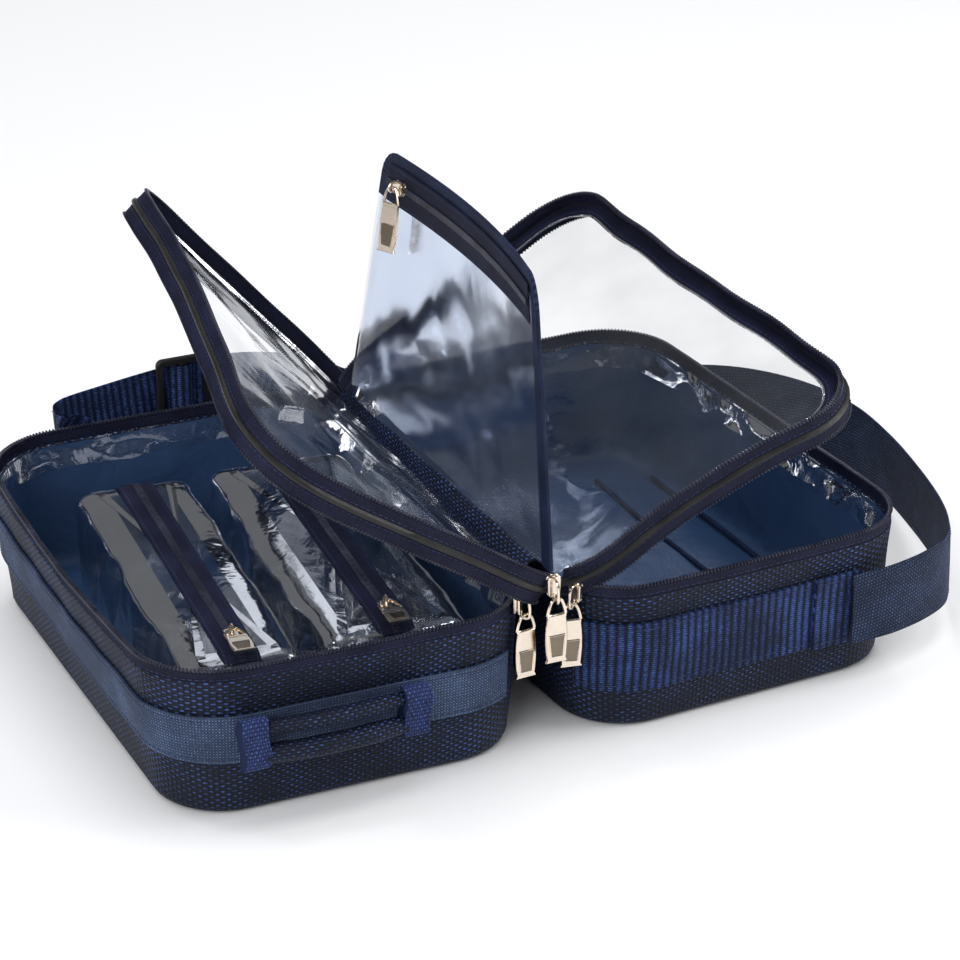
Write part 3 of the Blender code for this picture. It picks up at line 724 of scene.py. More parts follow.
def tray(side, shape, body):
    ring = outline(WIDTH, LENGTH, CORNER)
    b = Builder()
    section = [(-10, 0), (-7.6, 0.3), (-5.6, 1.8), (-DRAFT, 4.2)]
    section += wall(np.linspace(6, WALL_TOP, 11), 0.0)
    section += [(-0.2, 72.8), (-0.9, 73.1), (-2.3, 73.0), (-2.7, 72.2), (-3.0, 66)]
    b.grid(swept(ring, section, shape), loop_i=True)
    base = level(ring[0] - ring[1] * 10)
    fill(b, base[::-1], (WIDTH / 2, 0, 0), shape, (1.0, 0.86, 0.7, 0.5, 0.3, 0.12))
    b.make(f"{side}_shell_cloth", NYLON, body, [f"{side}_tray_shell"], weld=True)

    b = Builder()
    section = wall([71.6, 68, 60, 50, 40, 30, 20, 12], -3.5)
    section += [(-8.4, 8.4), (-9.9, 5.8), (-12.4, 4.6), (-15, 4.4)]
    pts = swept(ring, section)
    crumple = waves(pts, 46.0, 5 if side == "left" else 6, 3) * 0.9
    share = np.clip((70 - pts[..., 2]) / 12, 0, 1)
    pts = pts - level(ring[1])[:, None, :] * (np.abs(crumple) * share)[..., None]
    b.grid(shape(pts), loop_i=True)

    def relief(rows, shares):
        moved = rows.copy()
        lift = 0.5 + 0.5 * waves(rows, 60.0, 11, 3)
        moved[..., 2] += np.abs(lift) * (1 - shares[:, None] ** 6) * 0.7
        return moved
    shares = (1.0, 0.92, 0.8, 0.65, 0.5, 0.35, 0.2, 0.08)
    fill(b, pts[:, -1], (WIDTH / 2, 0, 4.4), shape, shares, relief)
    b.make(f"{side}_lining_cloth", LINING, body, [f"{side}_tray_lining"], weld=True)

    open_ring = outline(WIDTH, LENGTH, CORNER, start=3.0, spacing=4.0)
    b = Builder()
    b.band(open_ring, rect(-1.5, -0.5, 72.4, 78.1, 0.2), shape)
    stitches(b, open_ring, -0.35, 74.2, shape=shape, slot=1)
    b.make(f"{side}_rim_tape_cloth", [TAPE, THREAD], body, [f"{side}_rim_zip_tape"])

    b = Builder()
    teeth(b, open_ring, -0.95, 79.0, shape=shape)
    b.band(open_ring, disc(-0.95, 78.7, 0.55, 5), shape)
    b.make(f"{side}_rim_coil", COIL, body, [f"{side}_rim_zip_teeth"])

    b = Builder()
    b.band(spine_run(), rect(-2.6, -0.2, 72.3, 76.6, 0.7), shape)
    b.make(f"{side}_spine_binding_cloth", BINDING, body, [f"{side}_spine_edge_binding"])

    # a loose clear strip hangs inside the rim
    b = Builder()
    pts = swept(ring, [(-3.0, 72.5), (-4.0, 69.5), (-5.2, 66), (-6.3, 62.5), (-7.2, 59.5)])
    loose = array((0, 0.25, 0.6, 0.9, 1.0))
    pts[..., :2] -= ring[1][:, None, :] * (1.2 * waves(pts, 24.0, 21, 2) * loose)[..., None]
    pts[..., 2] += 0.9 * waves(pts + 50, 30.0, 22, 2) * loose
    b.grid(shape(pts), loop_i=True)
    strip = b.make(f"{side}_rim_clear_strip", FILM_DENSE, body)


tray("left", left_tray, "left_tray")
tray("right", right_tray, "right_tray")


RIDGE = ((0, 50), (0, 62), (0, 74), (0.05, 79), (0.2, 83.5), (0.36, 87), (0.5, 88.3), (0.64, 87),
         (0.8, 83.5), (0.95, 79), (1, 74), (1, 62), (1, 50))


def gusset():
    """One fabric web from tray to tray; it stands in a low ridge where the leaves are sewn."""
    b = Builder()
    rows = []
    for y in np.linspace(-112, 112, 40):
        left = left_world(array((0.0, -y, 0.0)))
        right = right_world(array((0.0, y - RIGHT_EDGE[1], 0.0)))
        gap = right[0] - left[0]
        row = []
        for t, z in RIDGE:
            sunk = SLOPE * max(WALL_TOP - z, 0) - 0.4
            x = left[0] + gap * t
            if t in (0, 1):
                x += sunk * (1 if t else -1)
            row.append((x, y + RIGHT_EDGE[1] / 2 * t, z + 0.5 * math.sin(y * 0.11 + t * 5)))
        rows.append(row)
    outer = array(rows)
    inner = outer.copy()
    inner[..., 2] -= 1.0
    section = np.concatenate([outer, inner[:, ::-1]], axis=1)
    b.grid(section, loop_j=True, caps=True)

    def over_fold(piece):
        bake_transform(piece)
    web = b.make("spine_gusset_cloth", NYLON, over_fold,
                 ["left_spine_gusset", "right_spine_gusset"], smooth=60)


gusset()


# ------------------------------------------------------------------ webbing on the walls

def webbing(name, path, low, high, lift, material, side, nodes, edge=2.2, extra=None):
    """Webbing sewn to a wall, with a row of stitches near each edge."""
    shape = left_tray if side == "left" else right_tray
    b = Builder()
    heights = np.linspace(low, high, 6)
    b.band(path, wall(heights, lift + 1.5) + wall(heights, lift)[::-1], shape)
    for z in (low + edge, high - edge):
        stitches(b, path, lift + 1.6 - SLOPE * (WALL_TOP - z), z, shape=shape, slot=1)
    if extra:
        extra(b)
    b.make(name, [material, THREAD], f"{side}_tray", nodes)


def left_webbing():
    half, far = LENGTH / 2 - CORNER, WIDTH - CORNER
    path = join([arc((CORNER, half), CORNER, 128, 90, 5), arc((far, half), CORNER, 90, 0, 10),
                 arc((far, -half), CORNER, 0, -90, 10),
                 arc((CORNER, -half), CORNER, -90, -120, 4)], 5.0)
    webbing("left_webbing_cloth", path, 29.5, 54.5, 0.45, LEFT_WEBBING, "left",
            ["left_perimeter_webbing"])


def right_webbing():
    front = -LENGTH / 2
    bend = arc((CORNER, front + CORNER), CORNER, 206, 270, 7)
    path = join([bend, ([(154, front)], [(0, -1)])], 5.0)
    webbing("right_webbing_cloth", path, 21, 59, 0.45, RIGHT_WEBBING, "right",
            ["right_front_webbing"], 3.0)
    path = straight(array([(x, front) for x in np.linspace(129, 155, 9)]), (0, -1),
                    np.linspace(0, 26, 9))

    def box_stitch(b):
        z = np.linspace(23, 57, 11)
        for x in (131.5, 152.5):
            centre = np.stack([np.full(len(z), x), front - 3.7 + SLOPE * (WALL_TOP - z), z], axis=1)
            ways = ((0, 0, 1), (1, 0, 0), (0, 1, 0))
            axes = [np.broadcast_to(array(way), centre.shape) for way in ways]
            copies(b, centre, axes, *pill(2.3, 0.5, 0.45, 0.5), right_tray, 1)
    webbing("strap_patch_cloth", path, 20, 60, 2.2, RIGHT_WEBBING, "right", ["strap_anchor_patch"],
            3.0, box_stitch)


left_webbing()
right_webbing()


def lining_piping():
    """Two corded seams in the right tray's lining."""
    b = Builder()
    x = WIDTH - 16.5
    lines = [[(x, y, 6.6 + 0.5 * math.sin(y * 0.07)) for y in np.linspace(-92, 92, 30)],
             [(x - 26 - 6 * math.cos(y * 0.011), y, 6.0) for y in np.linspace(-104, 104, 30)]]
    for line in lines:
        line = array(line)
        ring = array([(1.3 * math.cos(a), 0, 1.3 * math.sin(a))
                      for a in np.linspace(0, 2 * PI, 9)[:-1]])
        b.grid(right_tray(line[:, None, :] + ring[None, :, :]), loop_j=True, caps=True)
    b.make("right_lining_piping_cord", BINDING, "right_tray", ["right_lining_piping"])


lining_piping()


# ------------------------------------------------------------------ pages

def loop_ring(path, inset, spine_x):
    """The inside edge of a three-sided frame, closed along the spine side."""
    inner = path[0] - path[1] * inset
    first, last = inner[0], inner[-1]
    count = int(abs(last[1] - first[1]) / 7)
    share = np.linspace(0, 1, count + 1)[1:-1, None]
    spine = last + (first - last) * share
    spine[:, 0] = spine_x
    return level(np.concatenate([inner, spine]))


def creased(rows, shares, amplitude, size, seed, folds=0.0):
    """Film relief: soft dents with sharp ridges, nothing at the sewn edge."""
    moved = rows.copy()
    free = 1 - np.clip(shares, 0, 1)[:, None] ** 5
    soft = waves(rows, size, seed, 2) * 0.55
    sharp = waves(rows + 40, size * 0.9, seed + 1, 2, ridged=True) * 0.45
    moved[..., 2] += amplitude * (soft + sharp) * free
    if folds:
        slant = rows[..., 0] * 0.045 + rows[..., 1] * 0.02 + 1.5 * waves(rows, 120.0, seed + 2, 1)
        moved[..., 2] += folds * np.sin(slant * 2.2) * free
    return moved


FILM_SHARES = np.linspace(1.0, 0.03, 34)


def area_of(ring):
    ring = array(ring)
    after = np.roll(ring, -1, axis=0)
    return float((ring[:, 0] * after[:, 1] - after[:, 0] * ring[:, 1]).sum() / 2)


def page(side, leaf, place, hinge):
    width, length, corner, start = leaf["width"], leaf["length"], leaf["corner"], leaf["start"]
    name = f"{side}_page"
    middle = outline(width, length, corner, start=start, spacing=4.0)
    b = Builder()
    b.band(middle, disc(-0.4, 0, 1.7, 8), place)
    b.make(f"{name}_piping_cord", PIPING, hinge, [f"{name}_piping"])
    for storey, sign in (("upper", 1), ("lower", -1)):
        path = outline(width, length, corner, start=start + sign * 3.4, spacing=4.0)
        b = Builder()
        low, high = sorted((sign * 1.3, sign * 7.6))
        b.band(path, rect(-1.7, -0.7, low, high, 0.2), place)
        stitches(b, path, -0.55, sign * 2.7, shape=place, slot=1)
        b.make(f"{name}_{storey}_tape_cloth", [TAPE, THREAD], hinge,
               [f"{name}_{storey}_tape"])
        path = outline(width, length, corner, start=start + sign * 6.2, spacing=4.0)
        b = Builder()
        teeth(b, path, -1.1, sign * 8.1, shape=place, size=(2.5, 1.15, 1.3))
        b.band(path, disc(-1.1, sign * 7.95, 0.5, 5), place)
        b.make(f"{name}_{storey}_coil", COIL, hinge, [f"{name}_{storey}_teeth"])
    b = Builder()
    b.band(middle, rect(-9.4, -1.6, -0.7, 0.7, 0.25), place)
    for up in (0.75, -0.75):
        stitches(b, middle, -7.9, up, shape=place, slot=1, thick=0.4)
    b.band(middle, disc(-10.2, 0, 0.8, 6), place, slot=2)
    b.make(f"{name}_hem", [TAPE, THREAD, FILM_EDGE], hinge, [f"{name}_edge_binding"])

    ring = loop_ring(middle, 8.0, start)
    seed, sag = (31, 4.0) if side == "left" else (47, 1.5)
    b = Builder()

    def relief(rows, shares):
        moved = creased(rows, shares, 1.1, 105.0, seed, 0.25)
        moved[..., 2] -= sag * (1 - np.clip(shares, 0, 1)[:, None] ** 3)
        return moved
    fill(b, ring, (width * 0.5, 0, 0), place, FILM_SHARES, relief)
    film = b.make(f"{name}_film", FILM, hinge, [f"{name}_window"], smooth=60.0)


page("left", LEFT_PAGE, on_left_page,
     hinged(LEFT_PAGE, left_world))
page("right", RIGHT_PAGE, on_right_page,
     hinged(RIGHT_PAGE, right_world))


# ------------------------------------------------------------------ pocket page

def pocket_path(radius=14.0):
    """Its three bound sides, from the spine at the back round to the spine at the front."""
    a, b, c, d = [array(corner) for corner in POCKET_CORNERS]
    places, normals = [a], [(0.0, -1.0)]
    for before, here, after in ((a, b, c), (b, c, d)):
        into = (before - here) / np.linalg.norm(before - here)
        away = (after - here) / np.linalg.norm(after - here)
        turn = math.acos(float(np.clip(into @ away, -1, 1)))
        reach = radius / math.tan(turn / 2)
        bisect = (into + away) / np.linalg.norm(into + away)
        centre = here + bisect * radius / math.sin(turn / 2)
        first, last = here + into * reach - centre, here + away * reach - centre
        angle0 = math.atan2(first[1], first[0])
        sweep = (math.atan2(last[1], last[0]) - angle0 + PI) % (2 * PI) - PI
        for i in range(9):
            angle = angle0 + sweep * (i / 8)
            normal = array((math.cos(angle), math.sin(angle)))
            places.append(centre + normal * radius)
            normals.append(normal)
    return resample(array(places + [d]), array(normals + [(0.0, 1.0)]), 4.0, False)


def outer_edge():
    """Middle of the pocket's outer edge line, the way it runs, and the way out."""
    a, c = array(POCKET_CORNERS[1]), array(POCKET_CORNERS[2])
    run = (c - a) / np.linalg.norm(c - a)
    out = array((run[1], -run[0]))
    return (a + c) / 2 - out * 14, run, out


def pocket():
    path = pocket_path()
    hinge = hinged(POCKET, left_world)
    b = Builder()
    back = POCKET_CORNERS[1][0] - POCKET_CORNERS[0][0] - 24
    bound = part_of(path, back, path[2][-1])
    b.band(bound, rect(-10.0, 0.2, -1.05, 1.05, 0.45), on_pocket)
    for up in (-1.05, 1.05):
        stitches(b, bound, -8.4, up, shape=on_pocket, slot=1, thick=0.4)
    bare = part_of(path, 0, back + 3)
    b.band(bare, rect(-3.4, 0.0, -1.05, 1.05, 0.4), on_pocket, slot=2)
    b.make("pocket_binding_cloth", [BINDING, THREAD, FILM_EDGE], hinge,
           ["pocket_edge_binding"])

    ring = loop_ring(path, 3.0, 4.0)
    for name, height, seed in (("near", -0.8, 61), ("far", 0.8, 67)):
        b = Builder()

        def relief(rows, shares, seed=seed):
            return creased(rows, shares, 0.7, 120.0, seed, 0.2)
        fill(b, ring + array((0, 0, height)), (70, 12, height), on_pocket, FILM_SHARES, relief)
        film = b.make(f"pocket_{name}_film", FILM_CALM, hinge,
                      [f"pocket_{name}_sheet"], smooth=60.0)

    # the zip runs beside the outer edge
    middle, run, out = outer_edge()
    half = (POCKET_EDGE - 22) / 2
    points = array([middle + run * t for t in np.linspace(-half, half, 50)])
    line = straight(points, out, np.linspace(0, 2 * half, 50))
    b = Builder()
    b.band(line, [(-10.5, -2.2), (-9, -2.35), (-2.4, -2.35), (2.4, -2.35), (8, -2.35), (9.0, -2.2),
                  (9.0, -1.7), (-10.5, -1.7)], on_pocket)
    for side in (-8.9, 7.4):
        stitches(b, line, side, -2.42, shape=on_pocket, slot=1, thick=0.4)
    b.make("pocket_tape_cloth", [TAPE, THREAD], hinge, ["pocket_zip_tape"])
    b = Builder()
    teeth(b, line, 0.0, -3.0, 1.5, on_pocket, size=(3.4, 0.9, 1.1))
    b.make("pocket_coil", COIL, hinge, ["pocket_zip_teeth"])


pocket()


# ------------------------------------------------------------------ small solids

def smooth_line(points, parts=4, closed=False):
    """A curve through the points."""
    points = array(points)
    count = len(points)
    made = []
    for i in range(count if closed else count - 1):
        before, here, there, after = [points[k % count if closed else min(max(k, 0), count - 1)]
                                      for k in (i - 1, i, i + 1, i + 2)]
        for step in range(parts):
            t = step / parts
            square = 2 * before - 5 * here + 4 * there - after
            cube = 3 * here - before - 3 * there + after
            made.append(0.5 * (2 * here + (there - before) * t + square * t ** 2 + cube * t ** 3))
    if not closed:
        made.append(points[-1])
    return array(made)


ASKEW = (0.31, 0.52, 0.79)           # a direction that no wire here starts in


def wire(builder, points, radius, shape=as_is, sides=8, parts=4, closed=False, slot=0):
    """A round bar along a curve."""
    line = smooth_line(points, parts, closed)
    if closed:
        tangent = np.roll(line, -1, axis=0) - np.roll(line, 1, axis=0)
    else:
        tangent = np.gradient(line, axis=0)
    tangent = unit(tangent)
    side = np.cross(tangent[0], ASKEW)
    rows = []
    for place, forward in zip(line, tangent):
        side = side - forward * (side @ forward)
        side /= np.linalg.norm(side)
        other = np.cross(forward, side)
        rows.append([place + radius * (math.cos(a) * side + math.sin(a) * other)
                     for a in np.linspace(0, 2 * PI, sides + 1)[:-1]])
    builder.grid(shape(array(rows)), loop_i=closed, loop_j=True, caps=not closed, slot=slot)


def slab(builder, ring, levels, shape=as_is, slot=0):
    """A flat solid: its outline, drawn in by an amount at each height."""
    ring = array(ring)
    tangent = np.roll(ring, -1, axis=0) - np.roll(ring, 1, axis=0)
    normal = unit(np.stack([tangent[:, 1], -tangent[:, 0]], axis=1))
    rows = [level(ring - normal * inset, z) for inset, z in levels]
    builder.grid(shape(array(rows)), loop_j=True, caps=True, slot=slot)


def rounded(half_x, half_y, radius, steps=4):
    """Corners of a rounded rectangle, turning left."""
    x, y = half_x - radius, half_y - radius
    corners = ((x, -y, -90), (x, y, 0), (-x, y, 90), (-x, -y, 180))
    return [place for cx, cy, first in corners
            for place in arc((cx, cy), radius, first, first + 90, steps)[0]]


def placed(centre, x_axis, y_axis, z_axis, after=as_is):
    """A mapping from a solid's own axes to places in the world."""
    axes = array([x_axis, y_axis, z_axis])
    return lambda p: after(array(centre) + p @ axes)


# ------------------------------------------------------------------ zip sliders and pulls

PIN_OUT, PIN_DROP = 5.3, 5.8         # the pin of a pull, from the foot of its slider


def slider(name, body, place, loop):
    """Two plates on a post, and a wire loop for the pull; place maps its own axes to the world."""
    b = Builder()
    waist = [(x * (1 - 0.16 * (y / 5.5) ** 2) * (0.9 if y < 0 else 1.0), y)
             for x, y in rounded(3.75, 5.5, 1.8)]
    for low, high in ((0.0, 1.0), (2.1, 3.2)):
        slab(b, waist, [(0.35, low), (0.0, low + 0.3), (0.0, high - 0.35), (0.4, high)], place)
    slab(b, rounded(1.6, 4.2, 1.2, 3), [(0, 0.9), (0, 2.2)], place)
    for sign in (-1, 1):
        guide = [(sign * 3.1 + x, y) for x, y in rounded(0.45, 3.6, 0.4, 2)]
        slab(b, guide, [(0, 0.9), (0, 1.5)], place)
    wire(b, loop, 0.75, place)
    b.make(f"{name}_slider_gold", GOLD, body, [f"{name}_slider"], smooth=35)


def anticlockwise(points):
    return points[::-1] if area_of(points) < 0 else points


def pull(name, place, length=35.0):
    """A gold plate with a round-topped ring; it hangs along -z from the pin, y is its thickness."""
    b = Builder()

    def flat(p):
        return place(np.stack([p[..., 0], p[..., 2], p[..., 1]], axis=-1))
    top, low = -9.2, 1.3 - length
    ring = [(-2.0, 0, -0.1), (0, 0, 0.55), (2.0, 0, -0.1), (3.3, 0, -2.4), (4.4, 0, -6.2),
            (4.4, 0, -8.2), (0, 0, -8.6), (-4.4, 0, -8.2), (-4.4, 0, -6.2), (-3.3, 0, -2.4)]
    wire(b, ring, 0.85, place, 8, 3, closed=True)
    slab(b, [(x, y + top + 0.3) for x, y in rounded(5.0, 0.9, 0.7, 3)],
         [(0.3, -1.05), (0, -0.7), (0, 0.7), (0.3, 1.05)], flat)
    side = [(4.7, 0.0), (5.3, 0.16), (5.6, 0.36), (5.6, 0.58), (5.25, 0.78), (4.9, 0.92), (5.5, 1.0)]
    right = [(x, top + (low - top) * t) for x, t in side]
    edge = [(x, z) for x, z in right[::-1]] + [(-x, z) for x, z in right]
    slab(b, anticlockwise(edge), [(0.35, -0.85), (0.0, -0.5), (0.0, 0.5), (0.35, 0.85)], flat)
    corners = ((2.9, 0.86), (3.8, 0.45), (3.9, 0.40), (-3.9, 0.40), (-3.8, 0.45), (-2.9, 0.86))
    panel = anticlockwise([(x, top + (low - top) * t) for x, t in corners])
    for low_y, high_y in ((-1.0, -0.8), (0.8, 1.0)):
        slab(b, panel, [(0.1, low_y), (0.0, low_y + 0.08), (0.0, high_y - 0.08), (0.1, high_y)], flat,
             slot=1)
    for y in (-1.0, 1.0):
        wire(b, [(x * 1.05, y, z) for x, z in panel], 0.28, place, 6, 1, closed=True)
    b.make(f"{name}_pull_gold", [GOLD, DARK_GOLD], f"{name}_pull", [f"{name}_pull"],
           smooth=35)


# the wire of a slider's loop: for a pull that hangs down its face, and for one that stands on it
LOOP_DOWN = [(0, 3.8, 2.6), (0, 3.5, 5.0), (0, 1.8, 6.7), (0, -1.8, 7.3), (0, -5.0, 7.3),
             (0, -7.0, 6.8), (0, -7.6, 5.3), (0, -7.0, 3.9), (0, -5.4, 3.2), (0, -3.8, 2.9)]
LOOP_ROUND = [(0, 3.2, 2.6), (0, 3.0, 5.0), (0, 2.3, 6.6), (0, 0.9, 7.4), (0, -0.6, 7.3),
              (0, -1.6, 6.4), (0, -1.8, 5.0), (0, -1.8, 2.6)]
LOOP_ACROSS = [(-y, 0, z) for _, y, z in LOOP_ROUND]


def front_pulls():
    """Two pulls on the rim's front corners, and the one between them by the spine."""
    corner = array((CORNER, LENGTH / 2 - CORNER, 0))
    turns = []
    for side, flip, world, yaw, seat, facing, height in (
            ("left", 1, left_world, PI, 138, 95, 77.0),
            ("right", -1, right_world, RIGHT_YAW, 210, -104, 75.5)):
        seat = math.radians(seat)
        foot = world(corner * array((1, flip, 1)) + compass(seat) * (CORNER + 1.2))
        turns.append((f"{side}_rim", f"{side}_tray", foot, seat + yaw, math.radians(facing) + yaw,
                      height))
    turns.append(("middle", "left_tray", array((103.0, -137, 0)), -PI / 2, -PI / 2, 86.0))
    for name, body, foot, seat, facing, height in turns:
        outward, thick = compass(seat), compass(facing)
        place = placed(foot + UP * height, np.cross(UP, outward), UP, outward)
        slider(name, body, place, LOOP_DOWN)
        pin = foot + outward * PIN_OUT + UP * (height - PIN_DROP)
        pull(name, placed(pin, np.cross(UP, thick), thick, UP))


front_pulls()


def pocket_slider_and_pull():
    middle, run, out = outer_edge()
    centre = array((*(middle - run * ((POCKET_EDGE - 42) / 2 - 8)), -2.65))
    # the near face looks down before the leaf is turned, and the pull hangs towards the spine
    along_zip, down, near = array((*run, 0)), -array((*out, 0)), -UP

    def rigid(p):
        """With the leaf, but without its bend."""
        shut = p + array((0, 0, POCKET_HEIGHT))
        return left_world(turned(shut, POCKET["pivot"], math.radians(POCKET["angle"])))
    slider("pocket", "pocket_slider", placed(centre, down, along_zip, near, rigid), LOOP_ACROSS)
    # the ring is loose, so the plate hangs twisted towards the front
    twist = math.radians(30)
    face = near * math.cos(twist) + np.cross(near, down) * math.sin(twist)
    pin = centre + near * PIN_OUT
    pull("pocket", placed(pin, np.cross(face, down), face, -down, rigid))


pocket_slider_and_pull()


# ------------------------------------------------------------------ handle

def handle():
    front = -LENGTH / 2 - 1.5 - 1.2
    low, high = -50.0, 18.0
    sleeve_depth, sleeve_wide = 4.9, 13.0
    for name, radius, height in (("upper", 4.2, 50.0), ("lower", 5.2, 36.5)):
        b = Builder()
        rows = []
        for share in np.linspace(-0.035, 1.035, 30):
            x = low + (high - low) * share
            inside = min(max(share, 0), 1)
            y = front - radius - 3 * math.sin(PI * inside)
            squeeze = 1 - 0.12 * (2 * inside - 1) ** 4 + 0.03 * math.sin(share * 19)
            ring = []
            for k in range(16):
                a = 2 * PI * k / 16
                flat = 0.88 + 0.12 * abs(math.cos(a))
                reach = radius * squeeze
                ring.append((x, y + reach * flat * math.cos(a), height + reach * math.sin(a)))
            rows.append(ring)
        b.grid(array(rows), loop_j=True, caps=True)
        # the seam that closes the roll
        seam = array([(row[12][0], row[12][1] - 0.2, row[12][2] - 0.1) for row in rows[2:-2]])
        wire(b, [tuple(q) for q in seam[::2]], 0.55, as_is, 6, 2, slot=1)
        roll = b.make(f"handle_{name}_cloth", [NYLON, THREAD], "handle_grip",
                      [f"handle_{name}_roll"])
    for name, x in (("left", low - 6.8), ("right", high + 6.8)):
        b = Builder()
        inward = 1 if name == "left" else -1
        rows = []
        for t in np.linspace(0, 1, 15):
            # a flat sleeve round both rolls, pinched between them
            u = (t - 0.5) * sleeve_wide
            ring = []
            for k in range(32):
                a = 2 * PI * k / 32
                c, s = math.cos(a), math.sin(a)
                half_z = 13.6 - 0.5 * abs(2 * t - 1) ** 3
                z = 43 + half_z * math.copysign(abs(s) ** 0.75, s)
                depth = sleeve_depth * math.copysign(abs(c) ** 0.55, c)
                pinch = 1 - 0.20 * math.exp(-((z - 44.5) / 2.6) ** 2)
                y = front - sleeve_depth + (depth * pinch if depth < 0 else depth)
                ring.append((x + u + inward * math.sin((z - 30) * 0.24), y, z))
            rows.append(ring)
        b.grid(array(rows), loop_j=True, caps=True)
        for sign in (-1, 1):
            line = array([(x + sign * 4.7, z) for z in np.linspace(33, 53, 7)])
            seam = straight(line, (1, 0), np.linspace(0, 20, 7))
            depth = front - sleeve_depth - 4.95

            def upright(p, depth=depth):
                return np.stack([p[..., 0], depth + p[..., 2], p[..., 1]], axis=-1)
            stitches(b, seam, 0, 0.1, 2.6, 1.8, upright, 1)
        b.make(f"handle_{name}_sleeve", [KNIT, THREAD], "left_tray",
               [f"handle_{name}_wrap"], smooth=50)


handle()


# ------------------------------------------------------------------ pouches

POUCH_YAW = math.radians(-5)
POUCH_HALF_LENGTH = 108.0


def pouch(name, middle, half_width, seed):
    c, s = math.cos(POUCH_YAW), math.sin(POUCH_YAW)

    def place(p):
        x, y, z = p[..., 0], p[..., 1], p[..., 2]
        return np.stack([middle[0] + x * c - y * s, middle[1] + x * s + y * c, z], axis=-1)

    b = Builder()
    profile = [(9, 5.2), (3, 6.2), (1, 9.5), (0.4, 15), (0.2, 22), (0, 30), (0.2, 38), (0.6, 45), (1.0, 52),
               (1.4, 58), (2.0, 62.8), (2.9, 65.6), (4.3, 67.2), (7.5, 68.6), (12.0, 69.4), (17.0, 69.7)]
    base = outline(2 * half_width, 2 * POUCH_HALF_LENGTH, 13.0, spacing=3.2, steps=6)
    base = (base[0] - array((half_width, 0)), base[1], base[2])
    rows = swept(base, [(-inset, z) for inset, z in profile])
    # the bag is a soft box: keep the top rings inside the zip's length
    crumple = 2.0 * waves(rows, 75.0, seed, 2)
    crumple = crumple + 0.9 * waves(rows + 70, 42.0, seed + 1, 2, ridged=True)
    share = np.clip((rows[..., 2] - 5) / 14, 0, 1) * np.clip((70.2 - rows[..., 2]) / 9, 0, 1)
    drawn_in = np.clip(crumple + 1.2, -0.4, 6) * share
    rows = rows - level(base[1])[:, None, :] * drawn_in[..., None]
    rows[..., 2] -= np.clip(1.5 * waves(rows + 20, 60.0, seed + 2, 2) + 0.6, -0.2, 4) * share \
        * np.clip((rows[..., 2] - 45) / 10, 0, 1)
    b.grid(place(rows), loop_i=True)
    top = rows[:, -1]

    def sunk(points, shares):
        moved = points.copy()
        moved[..., 2] += 0.35 * (1 - shares[:, None])
        return moved
    fill(b, top, (0, 0, 69.9), place, (1.0, 0.75, 0.5, 0.25, 0.08), relief=sunk)
    bottom = rows[:, 0]

    def rumpled(points, shares):
        moved = points.copy()
        moved[..., 2] += np.abs(0.8 * waves(points, 30.0, seed + 3, 2)) * (1 - shares[:, None] ** 4)
        return moved
    fill(b, bottom[::-1], (0, 0, 5.2), place, (1.0, 0.85, 0.65, 0.45, 0.25, 0.1), relief=rumpled)
    b.make(f"{name}_bag", FILM_DENSE, name, [f"{name}_body"], smooth=50, weld=True)

    half = POUCH_HALF_LENGTH - 6.0
    count = 60
    ys = np.linspace(-half, half, count)
    line = straight(np.stack([np.zeros(count), ys], axis=1), (1, 0), ys + half)

    def drape(p):
        # the tape follows the bag down at both ends
        end = np.clip((np.abs(p[..., 1]) - (half - 9)) / 9, 0, 1)
        moved = p.copy()
        moved[..., 2] -= 3.2 * end ** 2 + 0.25 * np.sin(p[..., 1] * 0.13 + seed) * (1 - end)
        return place(moved)
    b = Builder()
    b.band(line, [(-9.5, 70.35), (-9.0, 70.2), (-4, 70.5), (0, 70.65), (4, 70.5), (9.0, 70.2),
                  (9.5, 70.35), (9.1, 71.05), (4, 71.35), (0, 71.45), (-4, 71.35), (-9.1, 71.05)],
           drape)
    for x in (-7.8, 7.8):
        stitches(b, line, x, 71.15, shape=drape, slot=1, thick=0.45)
    b.make(f"{name}_tape_cloth", [TAPE, THREAD], name, [f"{name}_zip_tape"])
    b = Builder()
    teeth(b, line, 0.0, 71.75, 1.7, drape, size=(4.2, 1.0, 1.1))
    b.make(f"{name}_coil", COIL, name)

    spot = place(array((0.0, 24.0 - POUCH_HALF_LENGTH, 71.55)))
    across, along_zip = array((c, s, 0)), array((-s, c, 0))
    slider(name, f"{name}_slider", placed(spot, across, along_zip, UP), LOOP_ROUND)
    pull(name, placed(spot + UP * PIN_OUT, across, UP, along_zip), 24.0)


pouch("pouch_1", (-40.0, -17.0), 33.0, 81)
pouch("pouch_2", (38.0, -20.0), 40.0, 83)


# ------------------------------------------------------------------ shoulder strap

STRAP_LEFT = [(-8, 147.5, 40), (-22, 148.2, 49), (-36, 149.5, 59), (-45, 152, 66),
              (-48, 154.5, 68.5), (-45.5, 157.5, 70), (-38, 159.5, 71), (-20, 160.6, 73),
              (5, 161, 76), (30, 161, 78.3), (56, 162, 77.3), (82, 163, 71.5),
              (98.5, 163.8, 64.7)]
STRAP_RIGHT = [(101.5, 163.9, 63.1), (125, 165.5, 50.4), (160, 171, 34), (210, 175, 24),
               (265, 174, 21), (315, 166, 20.5), (352, 148, 20.5), (377, 116, 20.5),
               (388, 75, 21), (386, 30, 22), (376, -20, 25), (362, -66, 30), (347, -100, 35),
               (333, -121, 38), (312, -134, 39.5), (288, -141.2, 40), (266.5, -142.8, 40)]


STRAP_WIDE, STRAP_THICK = 38.0, 1.5


